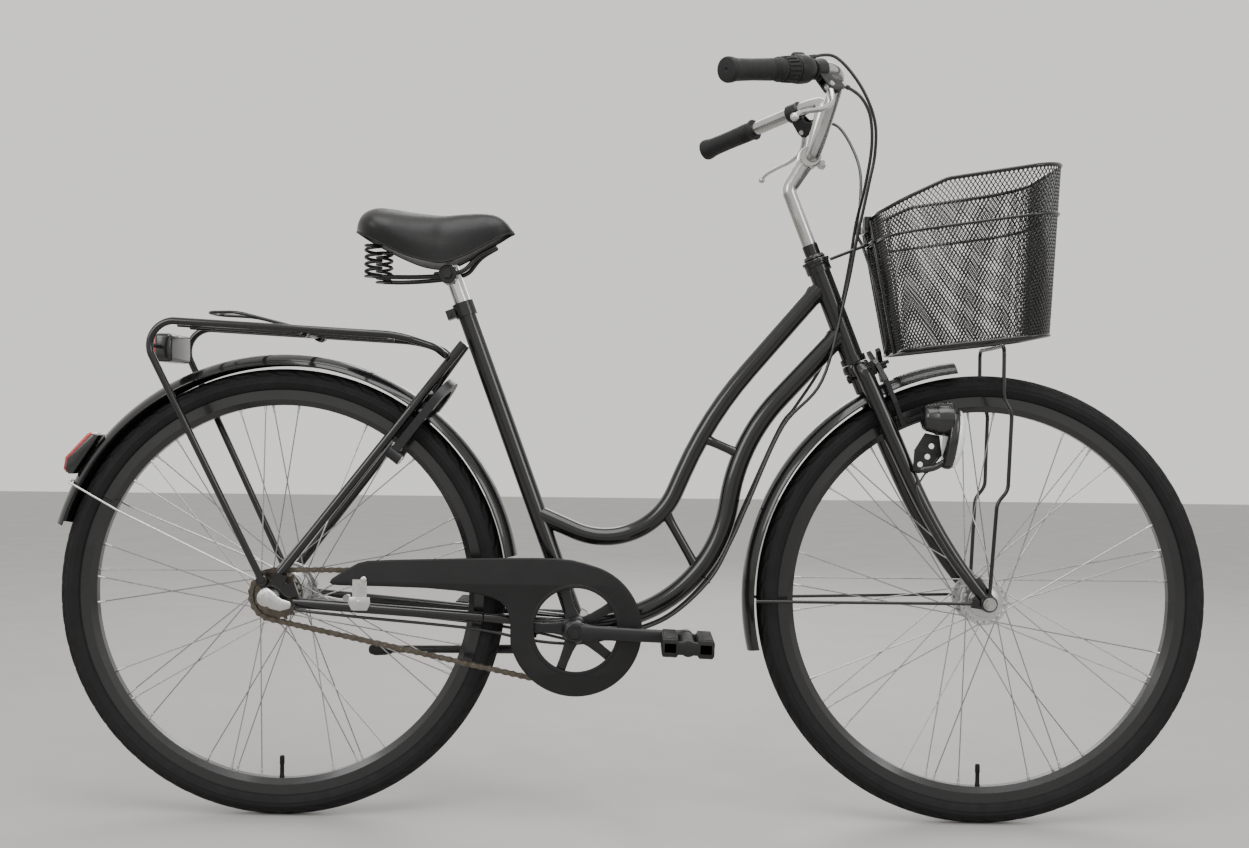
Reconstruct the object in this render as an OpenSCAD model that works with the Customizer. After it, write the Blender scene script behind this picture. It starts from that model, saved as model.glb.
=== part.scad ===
/* [Wheels] */
// Distance between the two axles
wheelbase = 1093.5; // [1080:0.5:1110]
// Outer radius of a 40-622 tyre
tyre_r = 350; // [348:0.5:352]
// Width of the tyre
tyre_w = 40; // [37:1:42]
// Radius at the inner edge of the rim
rim_in_r = 293; // [291:0.5:296]
// Radius at the top of the rim flange
rim_out_r = 318; // [317:0.5:319]
// Number of spokes in each wheel
spoke_count = 36; // [32, 36]
// Spoke diameter
spoke_d = 2; // [1.8:0.1:2.3]
// Outer radius of both fenders
fender_r = 373; // [371:0.5:376]

/* [Frame] */
// Height of the bottom bracket axis above the ground
bb_z = 303; // [300:1:306]
// Lean of the seat tube from vertical
seat_lean = 20.2; // [19:0.1:21]
// Lean of the steering axis from vertical
head_lean = 21.35; // [20.5:0.05:22]
// Length of the head tube
head_len = 142; // [138:1:146]
// Outer diameter of the seat tube
tube_d = 28.6; // [28:0.1:30]
// Outer diameter of the top tube
top_d = 28; // [27:0.1:28]
// Outer diameter of the down tube
down_d = 31.8; // [30:0.1:33]
// Wall thickness of the frame tubes
tube_wall = 1.4; // [1:0.1:2]

/* [Cockpit] */
// Half of the distance between the outer ends of the grips
bar_half = 271; // [260:1:280]
// Diameter of the handlebar
bar_d = 22.2; // [22:0.1:22.4]
// Radius of the rubber grips
grip_r = 16; // [15:0.5:17]

/* [Drive] */
// Teeth on the chainring
ring_teeth = 44; // [42:1:46]
// Teeth on the rear sprocket
cog_teeth = 19; // [18:1:21]
// Distance from the bottom bracket axis to the pedal axis
crank_len = 168; // [165:1:170]
// Angle of the right crank below horizontal
crank_drop = 2.4; // [0:0.1:5]
// Distance of the chain from the centre plane
chain_line = 46; // [45:0.5:47]

/* [Basket] */
// Half width of the basket rim
basket_half = 135; // [130:1:140]

/* [Hidden] */
$fn = 48;

// Reach of the rear fender's tip behind the rear axle
fender_reach = 357.5;
rear_x = -(wheelbase + tyre_r - fender_reach) / 2;
front_x = rear_x + wheelbase;
fender_tip_a = acos(fender_reach / fender_r);
bb_x = rear_x + 462.8;
head_x = front_x - 203.5;
head_z = 727.7;
black = [0.05, 0.05, 0.055];
rubber = [0.09, 0.09, 0.09];
steel = [0.72, 0.72, 0.72];
silver = [0.78, 0.78, 0.76];

// ---- joints between points ----
module rod(a, b, r) {
    d = b - a;
    len = norm(d);
    translate(a) rotate([0, acos(d[2] / len), atan2(d[1], d[0])]) cylinder(r = r, h = len);
}

module wire(p, r) {
    for (i = [0:len(p) - 2]) rod(p[i], p[i + 1], r);
    for (i = [1:len(p) - 2]) translate(p[i]) sphere(r = r * 1.03);
}

// A tube bent in the XZ plane: each leg is a length, a bend radius and a bend angle
module bent_tube(r, legs, i = 0) {
    leg = legs[i];
    rotate([0, 90, 0]) cylinder(r = r, h = leg[0]);
    if (leg[1] > 0) {
        up = leg[2] > 0 ? 0 : 1;
        turn = abs(leg[2]);
        translate([leg[0], 0, 0]) mirror([0, 0, up]) translate([0, 0, leg[1]])
            rotate([90, 0, 0]) rotate_extrude(angle = turn, start = 270)
                translate([leg[1], 0]) circle(r = r);
        if (i < len(legs) - 1)
            translate([leg[0] + leg[1] * sin(turn), 0, sign(leg[2]) * leg[1] * (1 - cos(turn))])
                rotate([0, -leg[2], 0]) bent_tube(r, legs, i + 1);
    }
}

// A smooth route through the points, and a thin tube swept along it
function spline(a, b, c, d, t) =
    0.5 * (2 * b + (c - a) * t + (2 * a - 5 * b + 4 * c - d) * t * t + (3 * b - a - 3 * c + d) * t * t * t);
function route(p, steps) = [
    for (i = [0:len(p) - 2], k = [0:steps - 1])
        spline(p[max(i - 1, 0)], p[i], p[i + 1], p[min(i + 2, len(p) - 1)], k / steps),
    p[len(p) - 1]
];
function unit(v) = v / norm(v);
function along(q, i) = unit(q[min(i + 1, len(q) - 1)] - q[max(i - 1, 0)]);
module cable(p, r, steps = 3) {
    sweep(route(p, steps), r, [0.2, 1, 0.1], 8);
}

// Rings around the points q, square to the route
module sweep(q, r, side, sides) {
    n = len(q);
    rings = [
        for (i = [0:n - 1]) let(t = along(q, i), u = unit(cross(t, side)), w = cross(t, u))
            for (k = [0:sides - 1]) q[i] + r * (cos(360 * k / sides) * u + sin(360 * k / sides) * w)
    ];
    walls = [
        for (i = [0:n - 2], k = [0:sides - 1]) let(k2 = (k + 1) % sides)
            [i * sides + k, (i + 1) * sides + k, (i + 1) * sides + k2, i * sides + k2]
    ];
    first = [for (k = [0:sides - 1]) k];
    last = [for (k = [sides - 1:-1:0]) (n - 1) * sides + k];
    polyhedron(rings, concat([first], walls, [last]), convexity = 10);
}

// Points along a path of legs in the XZ plane: length, bend radius, bend angle
function bent_points(x, z, h, legs, i = 0) =
    i == len(legs) ? [[x, 0, z]] : let(
        leg = legs[i],
        r = leg[1] * sign(leg[2]),
        cx = x + leg[0] * cos(h) - r * sin(h),
        cz = z + leg[0] * sin(h) + r * cos(h),
        steps = leg[1] > 0 ? ceil(abs(leg[2]) / 6) : 0,
        bend = [for (k = [0:1:steps - 1]) let(a = h + leg[2] * k / steps) [cx + r * sin(a), 0, cz - r * cos(a)]],
        end = h + leg[2]
    ) concat([[x, 0, z]], bend, bent_points(cx + r * sin(end), cz - r * cos(end), end, legs, i + 1));

module both_sides() {
    children();
    mirror([0, 1, 0]) children();
}

// The steering axis is local +Z, its origin is the bottom of the head tube, +X is ahead
module steering() {
    translate([head_x, 0, head_z]) rotate([0, -head_lean, 0]) children();
}

// The seat tube axis is local +Z, its origin is the bottom bracket
module seat_axis() {
    translate([bb_x, 0, bb_z]) rotate([0, -seat_lean, 0]) children();
}

// A wheel lies flat here and is stood up on its axle
module wheel_at(x) {
    translate([x, 0, tyre_r]) rotate([90, 0, 0]) children();
}

// ---- frame tubes ----
seat_len = 535;
stand_x = -170;
stand_z = 256;
steerer_r = 12.7;
cup_bore_r = 12.76;
head_r = 17;
post_r = 12.7;
spindle_r = 8.5;
shell_r = 20;
shell_half = 34;

module head_tube() {
    color(black) steering() difference() {
        cylinder(r = head_r, h = head_len);
        translate([0, 0, -1]) cylinder(r = head_r - 1.9, h = head_len + 2);
    }
}

module head_outline() {
    steering() translate([0, 0, -40]) cylinder(r = head_r, h = head_len + 80);
}

// Low sweep of the top tube and of the down tube: start, heading, legs
top_path = [[bb_x - 62, 475.3], -23.4, [[61, 119.5, 90], [33.7, 637.8, -17.2], [170, 0, 0]]];
down_path = [[bb_x, bb_z], 8.1, [[50, 220, 73.3], [8, 300, -34.2], [139, 0, 0]]];

module solid_tube(d, path, ahead) {
    q = bent_points(path[0][0], path[0][1], path[1], path[2]);
    t = along(q, 0);
    sweep(concat([q[0] - ahead * t], [for (i = [1:len(q) - 1]) q[i]]), d / 2, [0, 1, 0], 24);
}

module hollow_tube(d, path) {
    difference() {
        solid_tube(d, path, 0);
        solid_tube(d - 2 * tube_wall, path, 3);
    }
}

module top_tube() {
    color(black) difference() {
        hollow_tube(top_d, top_path);
        head_outline();
        seat_axis() cylinder(r = tube_d / 2, h = seat_len);
    }
}

module down_tube() {
    color(black) difference() {
        hollow_tube(down_d, down_path);
        head_outline();
        translate([bb_x, 0, bb_z]) rotate([90, 0, 0])
            cylinder(r = shell_r, h = 2 * shell_half, center = true);
    }
    // Two short braces up to the top tube
    color(black) {
        rod([62, 0, 471], [104, 0, 398], 8);
        rod([124, 0, 594.6], [163, 0, 578], 8);
    }
}

module seat_tube() {
    color(black) seat_axis() difference() {
        translate([0, 0, shell_r - 2]) cylinder(r = tube_d / 2, h = seat_len - shell_r + 2);
        translate([0, 0, shell_r - 4]) cylinder(r = post_r + 0.05, h = seat_len);
        rotate([90, 0, 0]) cylinder(r = shell_r, h = 80, center = true);
    }
}

module bottom_bracket_shell() {
    color(black) translate([bb_x, 0, bb_z]) rotate([90, 0, 0]) difference() {
        cylinder(r = shell_r, h = 2 * shell_half, center = true);
        cylinder(r = 17.4, h = 2 * shell_half + 2, center = true);
    }
}

module dropout(inner, thick) {
    translate([rear_x, -inner, tyre_r]) rotate([90, 0, 0]) difference() {
        linear_extrude(thick) union() {
            circle(r = 17);
            rotate(20) translate([0, -11]) square([38, 22]);
            rotate(70) translate([0, -10]) square([36, 20]);
            rotate(124) translate([0, -8]) square([30, 16]);
            rotate(124) translate([30, 0]) circle(r = 8);
        }
        translate([0, 0, -1]) cylinder(r = 5, h = thick + 2);
        rotate([0, 0, 124]) translate([30, 0, -1]) cylinder(r = 3, h = thick + 2);
    }
}

module chain_stays() {
    color(black) {
        both_sides() difference() {
            union() {
                wire([[bb_x - 14, -24, bb_z + 5], [bb_x - 145, -36, 318], [rear_x + 30, -60, 340]], 8);
                dropout(60, 6);
            }
            translate([bb_x, 0, bb_z]) rotate([90, 0, 0]) cylinder(r = shell_r, h = 80, center = true);
            translate([rear_x, 0, tyre_r]) rotate([90, 0, 0]) cylinder(r = 5, h = 150, center = true);
        }
        // Plate behind the bottom bracket, the kickstand hangs from it
        difference() {
            translate([-180, -30, 286]) cube([38, 60, 8]);
            translate([-161, 0, 270]) cylinder(r = 4, h = 40);
        }
        rod([-161, 30, 292], [-161, 30, 316], 5);
        rod([-161, -30, 292], [-161, -30, 316], 5);
        rod([stand_x, 24, 288], [stand_x, 24, stand_z], 8);
        rod([stand_x, 22, stand_z], [stand_x, 37.6, stand_z], 6);
    }
}

module seat_stays() {
    color(black) difference() {
        union() {
            both_sides()
                wire([[rear_x + 8, -57, 384], [-338, -38, 640], [-262, -17, 742]], 7);
            rod([-318, -36, 667], [-318, 36, 667], 5);
        }
        seat_axis() cylinder(r = tube_d / 2, h = 700);
    }
}

module bearing_cups() {
    // Headset cups in the two ends of the head tube
    color(black) steering() {
        for (top = [0, 1]) translate([0, 0, top * head_len]) mirror([0, 0, top]) difference() {
            union() {
                translate([0, 0, -10]) cylinder(r = 20, h = 10);
                cylinder(r = head_r - 1.9, h = 9);
            }
            translate([0, 0, -11]) cylinder(r = cup_bore_r, h = 22);
        }
    }
    // Bottom bracket cups around the crank spindle
    color(steel) both_sides() translate([bb_x, 0, bb_z]) rotate([90, 0, 0]) difference() {
        union() {
            translate([0, 0, 16]) cylinder(r = 17.4, h = 18);
            translate([0, 0, shell_half]) cylinder(r = 19, h = 3.5);
        }
        cylinder(r = spindle_r + 0.06, h = 60);
    }
}

module seat_collar() {
    color(black) seat_axis() difference() {
        union() {
            translate([0, 0, seat_len - 20]) cylinder(r = 17.5, h = 22);
            translate([-30, -8, seat_len - 17]) cube([20, 16, 15]);
            translate([-25, 13, seat_len - 9.5]) rotate([90, 0, 0]) cylinder(r = 4, h = 26);
        }
        translate([0, 0, seat_len - 21]) cylinder(r = tube_d / 2, h = 21);
        translate([0, 0, seat_len - 30]) cylinder(r = post_r + 0.3, h = 40);
        translate([-34, -1, seat_len - 22]) cube([26, 2, 26]);
    }
}

// ---- fenders ----
fender_half = 27;
fender_skirt = 356;
fender_curve_r = (fender_half * fender_half + pow(fender_r - fender_skirt, 2)) / (2 * (fender_r - fender_skirt));

module fender(from, to) {
    rotate_extrude(angle = to - from, start = from, $fn = 96) intersection() {
        translate([fender_r - fender_curve_r, 0]) difference() {
            circle(r = fender_curve_r);
            circle(r = fender_curve_r - 1.2);
        }
        translate([fender_skirt, -40]) square([40, 80]);
    }
}

module rear_fender() {
    color(black) wheel_at(rear_x) fender(9.5, 180 - fender_tip_a);
}

module rear_fender_stay() {
    color(steel) both_sides() {
        wire([[rear_x - 16, -68, 372], [-798, -31, 478], [-873, -26, 519], [-879, 0, 522]], 1.7);
        translate([rear_x - 16.8, -66.2, 374.9]) rotate([90, 0, 0]) cylinder(r = 7, h = 3.4);
    }
}

module rear_light() {
    color([0.5, 0.03, 0.03]) difference() {
        translate([-884, -24, 532]) cube([52, 48, 60]);
        translate([-830, 0, 500]) rotate([0, -30, 0]) translate([0, -30, -20]) cube([60, 60, 140]);
        wheel_at(rear_x) cylinder(r = fender_r + 0.2, h = 100, center = true);
    }
}

// ---- rear rack ----
rack_half = 88.7;
rack_r = 5.5;
loop_r = 37;
rack_top_z = 768;
loop_x = -690;
clip_x = -502;
clip_z = 753;

module rack_frame() {
    color(black) {
        both_sides() {
            // Leg from the dropout up into the loop at the back
            rod([rear_x - 15, -71.5, 374], [-723, -rack_half, 714], rack_r);
            translate([loop_x, -rack_half, rack_top_z - loop_r]) rotate([90, 0, 0])
                rotate_extrude(angle = 114, start = 93) translate([loop_r, 0]) circle(r = rack_r + 0.2);
            wire([[loop_x - 2, -rack_half, rack_top_z], [-352, -rack_half + 6, 750],
                [-300, -56, 734], [-287, -35, 722]], rack_r);
            translate([rear_x - 16, -66.1, 374]) rotate([90, 0, 0]) cylinder(r = 8, h = 9);
        }
        for (x = [-680, -590, -400])
            rod([x, -rack_half, rack_rail_z(x)], [x, rack_half, rack_rail_z(x)], 3.5);
        for (y = [-30, 30])
            rod([-700, y, rack_rail_z(-700) - 3], [-380, y, rack_rail_z(-380) - 3], 3);
        rod([-727, -rack_half, 731], [-727, rack_half, 731], 3);
        // Hinge rod of the clip
        rod([clip_x, -rack_half, clip_z], [clip_x, rack_half, clip_z], 3.5);
    }
}

function rack_rail_z(x) = rack_top_z - 0.053 * (x - loop_x);

module rack_reflector() {
    color([0.3, 0.02, 0.02]) translate([-741, -48, 706]) difference() {
        cube([8, 96, 48]);
        translate([6, -1, 20]) cube([10, 98, 9]);
    }
}

module rack_clip() {
    color(black) {
        both_sides() difference() {
            union() {
                rod([clip_x, -58, clip_z + 6], [-606, -50, 785], 2.6);
                rod([-598, -51, 783.4], [-659, -28, 786], 2.6);
                translate([clip_x, -54, clip_z]) rotate([90, 0, 0]) cylinder(r = 9, h = 12);
            }
            rod([clip_x, -80, clip_z], [clip_x, -40, clip_z], 3.56);
        }
        rod([-654.5, -34, 785.8], [-654.5, 34, 785.8], 2.7);
    }
}

// ---- chain drive ----
pitch = 12.7;
ring_pr = pitch / (2 * sin(180 / ring_teeth));
cog_pr = pitch / (2 * sin(180 / cog_teeth));
span = norm([bb_x - rear_x, bb_z - tyre_r]);
span_a = atan2(bb_z - tyre_r, bb_x - rear_x);
wrap = acos((ring_pr - cog_pr) / span);

// One toothed wheel as a flat outline
function tooth_outline(n, pr) = [
    for (i = [0:n - 1], k = [0:3])
        let(a = (i + [0.0, 0.3, 0.5, 0.8][k]) * 360 / n, r = [pr - 4, pr + 3.2, pr + 3.2, pr - 4][k])
            [r * cos(a), r * sin(a)]
];
function on_circle(c, r, a) = [c[0] + r * cos(a), c[1] + r * sin(a)];

// The loop around both toothed wheels, grown by d
module loop(d) {
    rear = [rear_x, tyre_r];
    front = [bb_x, bb_z];
    translate(rear) circle(r = cog_pr + d, $fn = 96);
    translate(front) circle(r = ring_pr + d, $fn = 96);
    polygon([
        on_circle(rear, cog_pr + d, span_a + wrap + 0 * d), on_circle(rear, cog_pr + d, span_a - wrap),
        on_circle(front, ring_pr + d, span_a - wrap), on_circle(front, ring_pr + d, span_a + wrap)
    ]);
}

module chain() {
    color([0.25, 0.22, 0.19]) difference() {
        translate([0, 3.5 - chain_line, 0]) rotate([90, 0, 0]) linear_extrude(7) difference() {
            loop(4);
            loop(-4.2);
        }
        // Room for the teeth between the side plates
        for (w = [[rear_x, tyre_r, cog_pr], [bb_x, bb_z, ring_pr]])
            translate([w[0], -chain_line, w[1]]) rotate([90, 0, 0])
                cylinder(r = w[2] + 3.8, h = 3.2, center = true);
    }
}

module rear_sprocket() {
    color([0.25, 0.24, 0.22]) translate([rear_x, -chain_line, tyre_r]) rotate([90, 0, 0]) difference() {
        union() {
            linear_extrude(1.8, center = true) polygon(tooth_outline(cog_teeth, cog_pr));
            translate([0, 0, -6]) cylinder(r = 26, h = 9);
        }
        cylinder(r = 19.05, h = 30, center = true);
    }
}

module chain_guard() {
    color([0.08, 0.08, 0.09]) translate([0, -38, 0]) rotate([90, 0, 0]) difference() {
        linear_extrude(23) guard_outline(0);
        translate([0, 0, -1]) linear_extrude(22) guard_outline(2);
        translate([bb_x, bb_z, -2]) cylinder(r = 64, h = 30);
        // The back half of the lower edge is open so that the chain can leave
        translate([bb_x - 150, bb_z - 140, -1]) cube([190, 118, 22]);
    }
}

module guard_outline(inset) {
    translate([bb_x, bb_z]) circle(r = 102 - inset, $fn = 96);
    polygon([
        [-456 + 2 * inset, 372 + inset / 2], [-409 + inset, 404 - inset], [-250, 411 - inset],
        [-110, 412 - inset], [-62, 403 - inset], [-110, 330], [bb_x - 90, 300], [-181 + inset, 312],
        [-197, 340 + inset], [-244, 357 + inset], [-309, 366 + inset], [-440, 367 + inset]
    ]);
}

module chain_guard_clip() {
    color(silver) {
        translate([-425, -62.6, 326]) cube([26, 1.5, 50]);
        translate([-425, -62, 326]) cube([26, 20, 3]);
        translate([-412, -60, 372]) rotate([90, 0, 0]) cylinder(r = 4, h = 4);
    }
}

// ---- rear hub, brake, axle and gear box ----
module rear_axle() {
    color(steel) translate([rear_x, 0, tyre_r]) rotate([90, 0, 0]) {
        cylinder(r = 5, h = 152, center = true);
        both_faces() translate([0, 0, 66]) {
            cylinder(r = 11, h = 2.5);
            cylinder(r = 8.7, h = 9, $fn = 6);
        }
    }
}

module both_faces() {
    children();
    mirror([0, 0, 1]) children();
}

module gear_clickbox() {
    color(silver) translate([rear_x, -76.5, tyre_r]) rotate([90, 0, 0]) {
        translate([0, 0, 0]) cylinder(r = 12, h = 10);
        translate([6, -7, 0]) rotate([0, 0, -18]) cube([32, 15, 10]);
    }
}

module rear_brake() {
    color([0.6, 0.6, 0.6]) difference() {
        union() {
            translate([rear_x, 57, tyre_r]) rotate([90, 0, 0]) cylinder(r = 42, h = 16);
            rod([rear_x + 30, 52, 336], [-452, 40, 326], 5);
            translate([-452, 50, 334]) rotate([90, 0, 0]) cylinder(r = 7, h = 14);
        }
        translate([rear_x, 60, tyre_r]) rotate([90, 0, 0]) cylinder(r = 5, h = 40);
        wire([[bb_x - 14, 24, bb_z + 5], [bb_x - 145, 36, 318], [rear_x + 30, 60, 340]], 8.3);
    }
}

// ---- frame lock ----
lock_lean = 37.7;
module frame_lock() {
    color(black) translate([-326, 0, 632]) rotate([0, lock_lean, 0]) {
        difference() {
            union() {
                translate([0, 0, 24]) rotate([0, 90, 0]) cylinder(r = 46, h = 13);
                translate([0, -46, -76]) cube([13, 92, 100]);
            }
            translate([-1, 0, 24]) rotate([0, 90, 0]) cylinder(r = 30, h = 15);
            translate([-1, -30, -90]) cube([15, 60, 114]);
        }
    }
    color(silver) translate([-326, 0, 632]) rotate([0, lock_lean, 0])
        translate([-2, -38, -74]) rotate([0, 90, 0]) cylinder(r = 10, h = 24);
}

// ---- cables along the frame ----
gear_points = [
    [258, -142, 1159], [299, -113, 1168], [338, -98, 1132], [364, -80, 1084], [368, -68, 1036],
    [360, -58, 985], [346, -38, 905], [332, -24, 822], [298, -19, 690], [238, -19, 618],
    [186, -19, 500], [160, -19, 440], [125, -19, 376], [60, -19, 317], [-20, -19, 288],
    [-80, -18, 276], [-150, -24, 281], [-240, -30, 299], [-420, -48, 318], [-500, -70, 330],
    [-508, -81.5, 338]
];
brake_points = [
    [315, -121, 1122], [338, -116, 1107], [355, -98, 1082], [361, -76, 1040], [357, -42, 985],
    [352, 6, 938], [345, 24, 875], [331, 29, 800], [306, 26, 720], [262, 21, 650],
    [236, 19, 614], [184, 19, 498],
    [158, 19, 438], [123, 19, 374], [60, 19, 315], [-20, 19, 286], [-80, 18, 275],
    [-150, 40, 284], [-230, 42, 296], [-330, 32, 308], [-420, 38, 316], [-448, 43, 322]
];
front_brake_points = [
    [312, 120, 1123], [338, 116, 1116], [358, 98, 1080], [368, 70, 1034], [366, 50, 985],
    [358, 34, 930], [368, 24, 900], [388, 10, 830], [402, 14, 765], [405, 17, 740]
];
lamp_points = [
    [470, -60, 572], [446, -58, 540], [440, -58, 515], [480, -62, 440], [516, -62, 390], [541, -46, 368]
];

module gear_cable() {
    color(black) cable(gear_points, 2.5);
}

module rear_brake_cable() {
    color(black) cable(brake_points, 2.5);
}

// ---- fork and front wheel fixings ----
drop_y = 50;
blade_tilt = 2.7;
module blade(r) {
    translate([4, -35, -32]) rotate([-blade_tilt, 0, 0]) rotate([0, 87.8, 0])
        bent_tube(r, [[168, 800, 16.2]]);
}

module fork() {
    color(black) {
        difference() {
            union() {
                steering() {
                    translate([0, 0, -14]) cylinder(r = steerer_r, h = head_len + 46);
                    translate([0, 0, -24]) cylinder(r = 17.5, h = 13.5);
                    translate([2, 0, -32]) rotate([90, 0, 0]) cylinder(r = 13, h = 70, center = true);
                    translate([0, 0, head_len + 10.4]) cylinder(r = 18, h = 7.5, $fn = 8);
                    translate([0, 0, head_len + 18]) cylinder(r = 16, h = 10);
                }
                both_sides() steering() {
                    blade(12);
                    translate([3, -35, -32]) sphere(r = 13.4);
                }
                both_sides() translate([front_x, -drop_y, tyre_r]) rotate([90, 0, 0])
                    linear_extrude(6) union() {
                        circle(r = 13);
                        translate([-22, 0]) circle(r = 8);
                        translate([-22, -8]) square([22, 16]);
                        rotate(128) translate([0, -9]) square([34, 18]);
                    }
            }
            steering() translate([0, 0, 10]) cylinder(r = 11.15, h = head_len + 60);
            translate([front_x, 0, tyre_r]) rotate([90, 0, 0]) cylinder(r = 4.8, h = 140, center = true);
            steering() translate([-30, 0, -32]) rotate([0, 90, 0]) cylinder(r = 3.1, h = 70);
        }
    }
}

module stem() {
    color(silver) steering() difference() {
        union() {
            translate([0, 0, 40]) rotate([0, -90, 0])
                bent_tube(11.1, [[223.5, 35, -54], [41.9, 0, 0]]);
            translate([48.3, 0, 316.4]) rotate([90, 0, 0]) cylinder(r = 18, h = 34, center = true);
            translate([48.3, 0, 316.4]) rotate([0, 130, 0]) translate([0, -8, 0]) cube([12, 16, 30]);
        }
        translate([48.3, 0, 316.4]) rotate([90, 0, 0]) cylinder(r = bar_d / 2 + 0.02, h = 60, center = true);
    }
}

// ---- handlebar ----
bar_mid = [279.9, 0, 1040];
bar_bend = [292, -115, 1149];
bar_end = [127, -bar_half, 1105.5];
grip_dir = unit(bar_end - bar_bend);
bar_length = norm(bar_end - bar_bend);
reach_dir = unit([0.479, -0.273, -0.834] - ([0.479, -0.273, -0.834] * grip_dir) * grip_dir);
lift_dir = cross(grip_dir, reach_dir);
function on_bar(s) = bar_bend + s * grip_dir;

// Local +X runs out along the right grip, +Y reaches towards the lever, s from the bend
module at_bar(s) {
    o = on_bar(s);
    multmatrix([
        [grip_dir[0], reach_dir[0], lift_dir[0], o[0]],
        [grip_dir[1], reach_dir[1], lift_dir[1], o[1]],
        [grip_dir[2], reach_dir[2], lift_dir[2], o[2]],
        [0, 0, 0, 1]
    ]) children();
}

module bar_sleeve(s, len, r, bore) {
    at_bar(s) rotate([0, 90, 0]) difference() {
        cylinder(r = r, h = len);
        translate([0, 0, -1]) cylinder(r = bore, h = len + 2);
    }
}

module handlebar() {
    color(silver) both_sides() wire([
        bar_mid, bar_mid + [0, -22, 0], bar_mid + [6, -38, 18], [304, -64, 1118], [306, -84, 1140],
        [302, -102, 1149], bar_bend, on_bar(bar_length - 4)
    ], bar_d / 2);
}

grip_start = 117;
module grips() {
    color(rubber) both_sides() at_bar(grip_start) rotate([0, 90, 0]) difference() {
        union() {
            cylinder(r = grip_r - 1, h = bar_length - grip_start);
            cylinder(r = grip_r + 2, h = 4);
            translate([0, 0, bar_length - grip_start - 5]) cylinder(r = grip_r, h = 5);
        }
        translate([0, 0, -1]) cylinder(r = bar_d / 2 + 0.02, h = bar_length - grip_start - 2.9);
    }
}

module lever_brackets() {
    color(black) both_sides() {
        bar_sleeve(20, 24, 15, bar_d / 2 + 0.02);
        at_bar(20) difference() {
            union() {
                translate([0, 12, -7]) cube([24, 34, 14]);
                translate([-14, 24, -6]) cube([16, 16, 12]);
                translate([-14, 32, 0]) rotate([0, -90, 0]) cylinder(r = 4.5, h = 12);
            }
            translate([-1, 22, -4.2]) cube([40, 30, 8.4]);
            translate([12, 34, -20]) cylinder(r = 2.5, h = 40);
        }
        at_bar(20) translate([12, 34, -9]) cylinder(r = 2.5, h = 18);
    }
}

// Blade of the right lever, turning about the pin at 12, 34 in the bracket's frame
module lever_blade() {
    at_bar(20) translate([0, 0, -4]) linear_extrude(8) difference() {
        polygon([
            [6, 30], [11, 26.5], [17, 29], [24, 45], [33, 58], [52, 69.5], [90, 72], [124, 79.5], [133, 80],
            [136, 85], [132, 91], [122, 89], [90, 81.5], [49, 79], [26, 67], [14, 50], [6, 38]
        ]);
        translate([12, 34]) circle(r = 2.55);
    }
}

module brake_lever_right() {
    color(silver) lever_blade();
}

module brake_lever_left() {
    color(silver) mirror([0, 1, 0]) lever_blade();
}

module twist_shifter() {
    color(rubber) at_bar(86.5) rotate([0, 90, 0]) difference() {
        union() {
            cylinder(r = 19, h = 29.5);
            for (a = [0:24:359]) rotate([0, 0, a]) translate([18.6, 0, 1.5]) cylinder(r = 1.6, h = 26);
        }
        translate([0, 0, -1]) cylinder(r = bar_d / 2 + 0.06, h = 40);
    }
}

module shifter_housing() {
    color(rubber) {
        bar_sleeve(54, 32, 21, bar_d / 2 + 0.02);
        at_bar(54) difference() {
            translate([2, -22, -12]) cube([24, 20, 26]);
            rotate([0, 90, 0]) cylinder(r = 20, h = 40);
        }
        at_bar(54) difference() {
            translate([-8, -21, -4]) rotate([0, 90, 0]) cylinder(r = 4, h = 14);
            rotate([0, 90, 0]) translate([0, 0, -20]) cylinder(r = 12, h = 60);
        }
    }
}

// ---- front fender ----
module front_fender() {
    color(black) difference() {
        wheel_at(front_x) fender(97, 193);
        steering() translate([2, 0, -32]) rotate([0, 90, 0]) cylinder(r = 3.2, h = 80, center = true);
    }
}

module front_fender_stays() {
    color(black) both_sides() {
        rod([198, -28.8, 346], [front_x - 24, -58.5, 350], 2.6);
        translate([front_x - 22, -56.1, 350]) rotate([90, 0, 0]) cylinder(r = 6, h = 6);
    }
}

// ---- front brake ----
arm_pivot_y = 12;
module front_brake_bridge() {
    color(black) steering() {
        translate([-20, 0, -32]) rotate([0, 90, 0]) cylinder(r = 3, h = 66);
        translate([-19, 0, -32]) rotate([0, 90, 0]) cylinder(r = 6.5, h = 5);
        both_sides() translate([16, -arm_pivot_y, -26]) rotate([0, 90, 0]) cylinder(r = 3, h = 33);
        translate([16, -20, -38]) cube([9, 40, 22]);
    }
}

// An arm cut from plate, in the plane across the steering axis
module brake_arm(front) {
    steering() difference() {
        union() {
            translate([front, 0, 0]) rotate([90, 0, 90]) linear_extrude(7) polygon([
                [-8, -16], [-22, -22], [-46, -50], [-51, -88], [-44, -128], [-34, -128],
                [-40, -88], [-36, -56], [-18, -38], [4, -20], [17, -6], [12, -1]
            ]);
            translate([front - 4, -36, -128]) cube([20, 16, 12]);
            translate([front - 9, -20, -127]) cube([30, 4, 10]);
        }
        translate([0, -arm_pivot_y, -26]) rotate([0, 90, 0]) cylinder(r = 3.06, h = 80);
        translate([0, 0, -32]) rotate([0, 90, 0]) cylinder(r = 6, h = 80);
    }
}

module brake_arm_right() {
    color(black) brake_arm(26);
}

module brake_arm_left() {
    color(black) mirror([0, 1, 0]) brake_arm(36);
}

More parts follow.
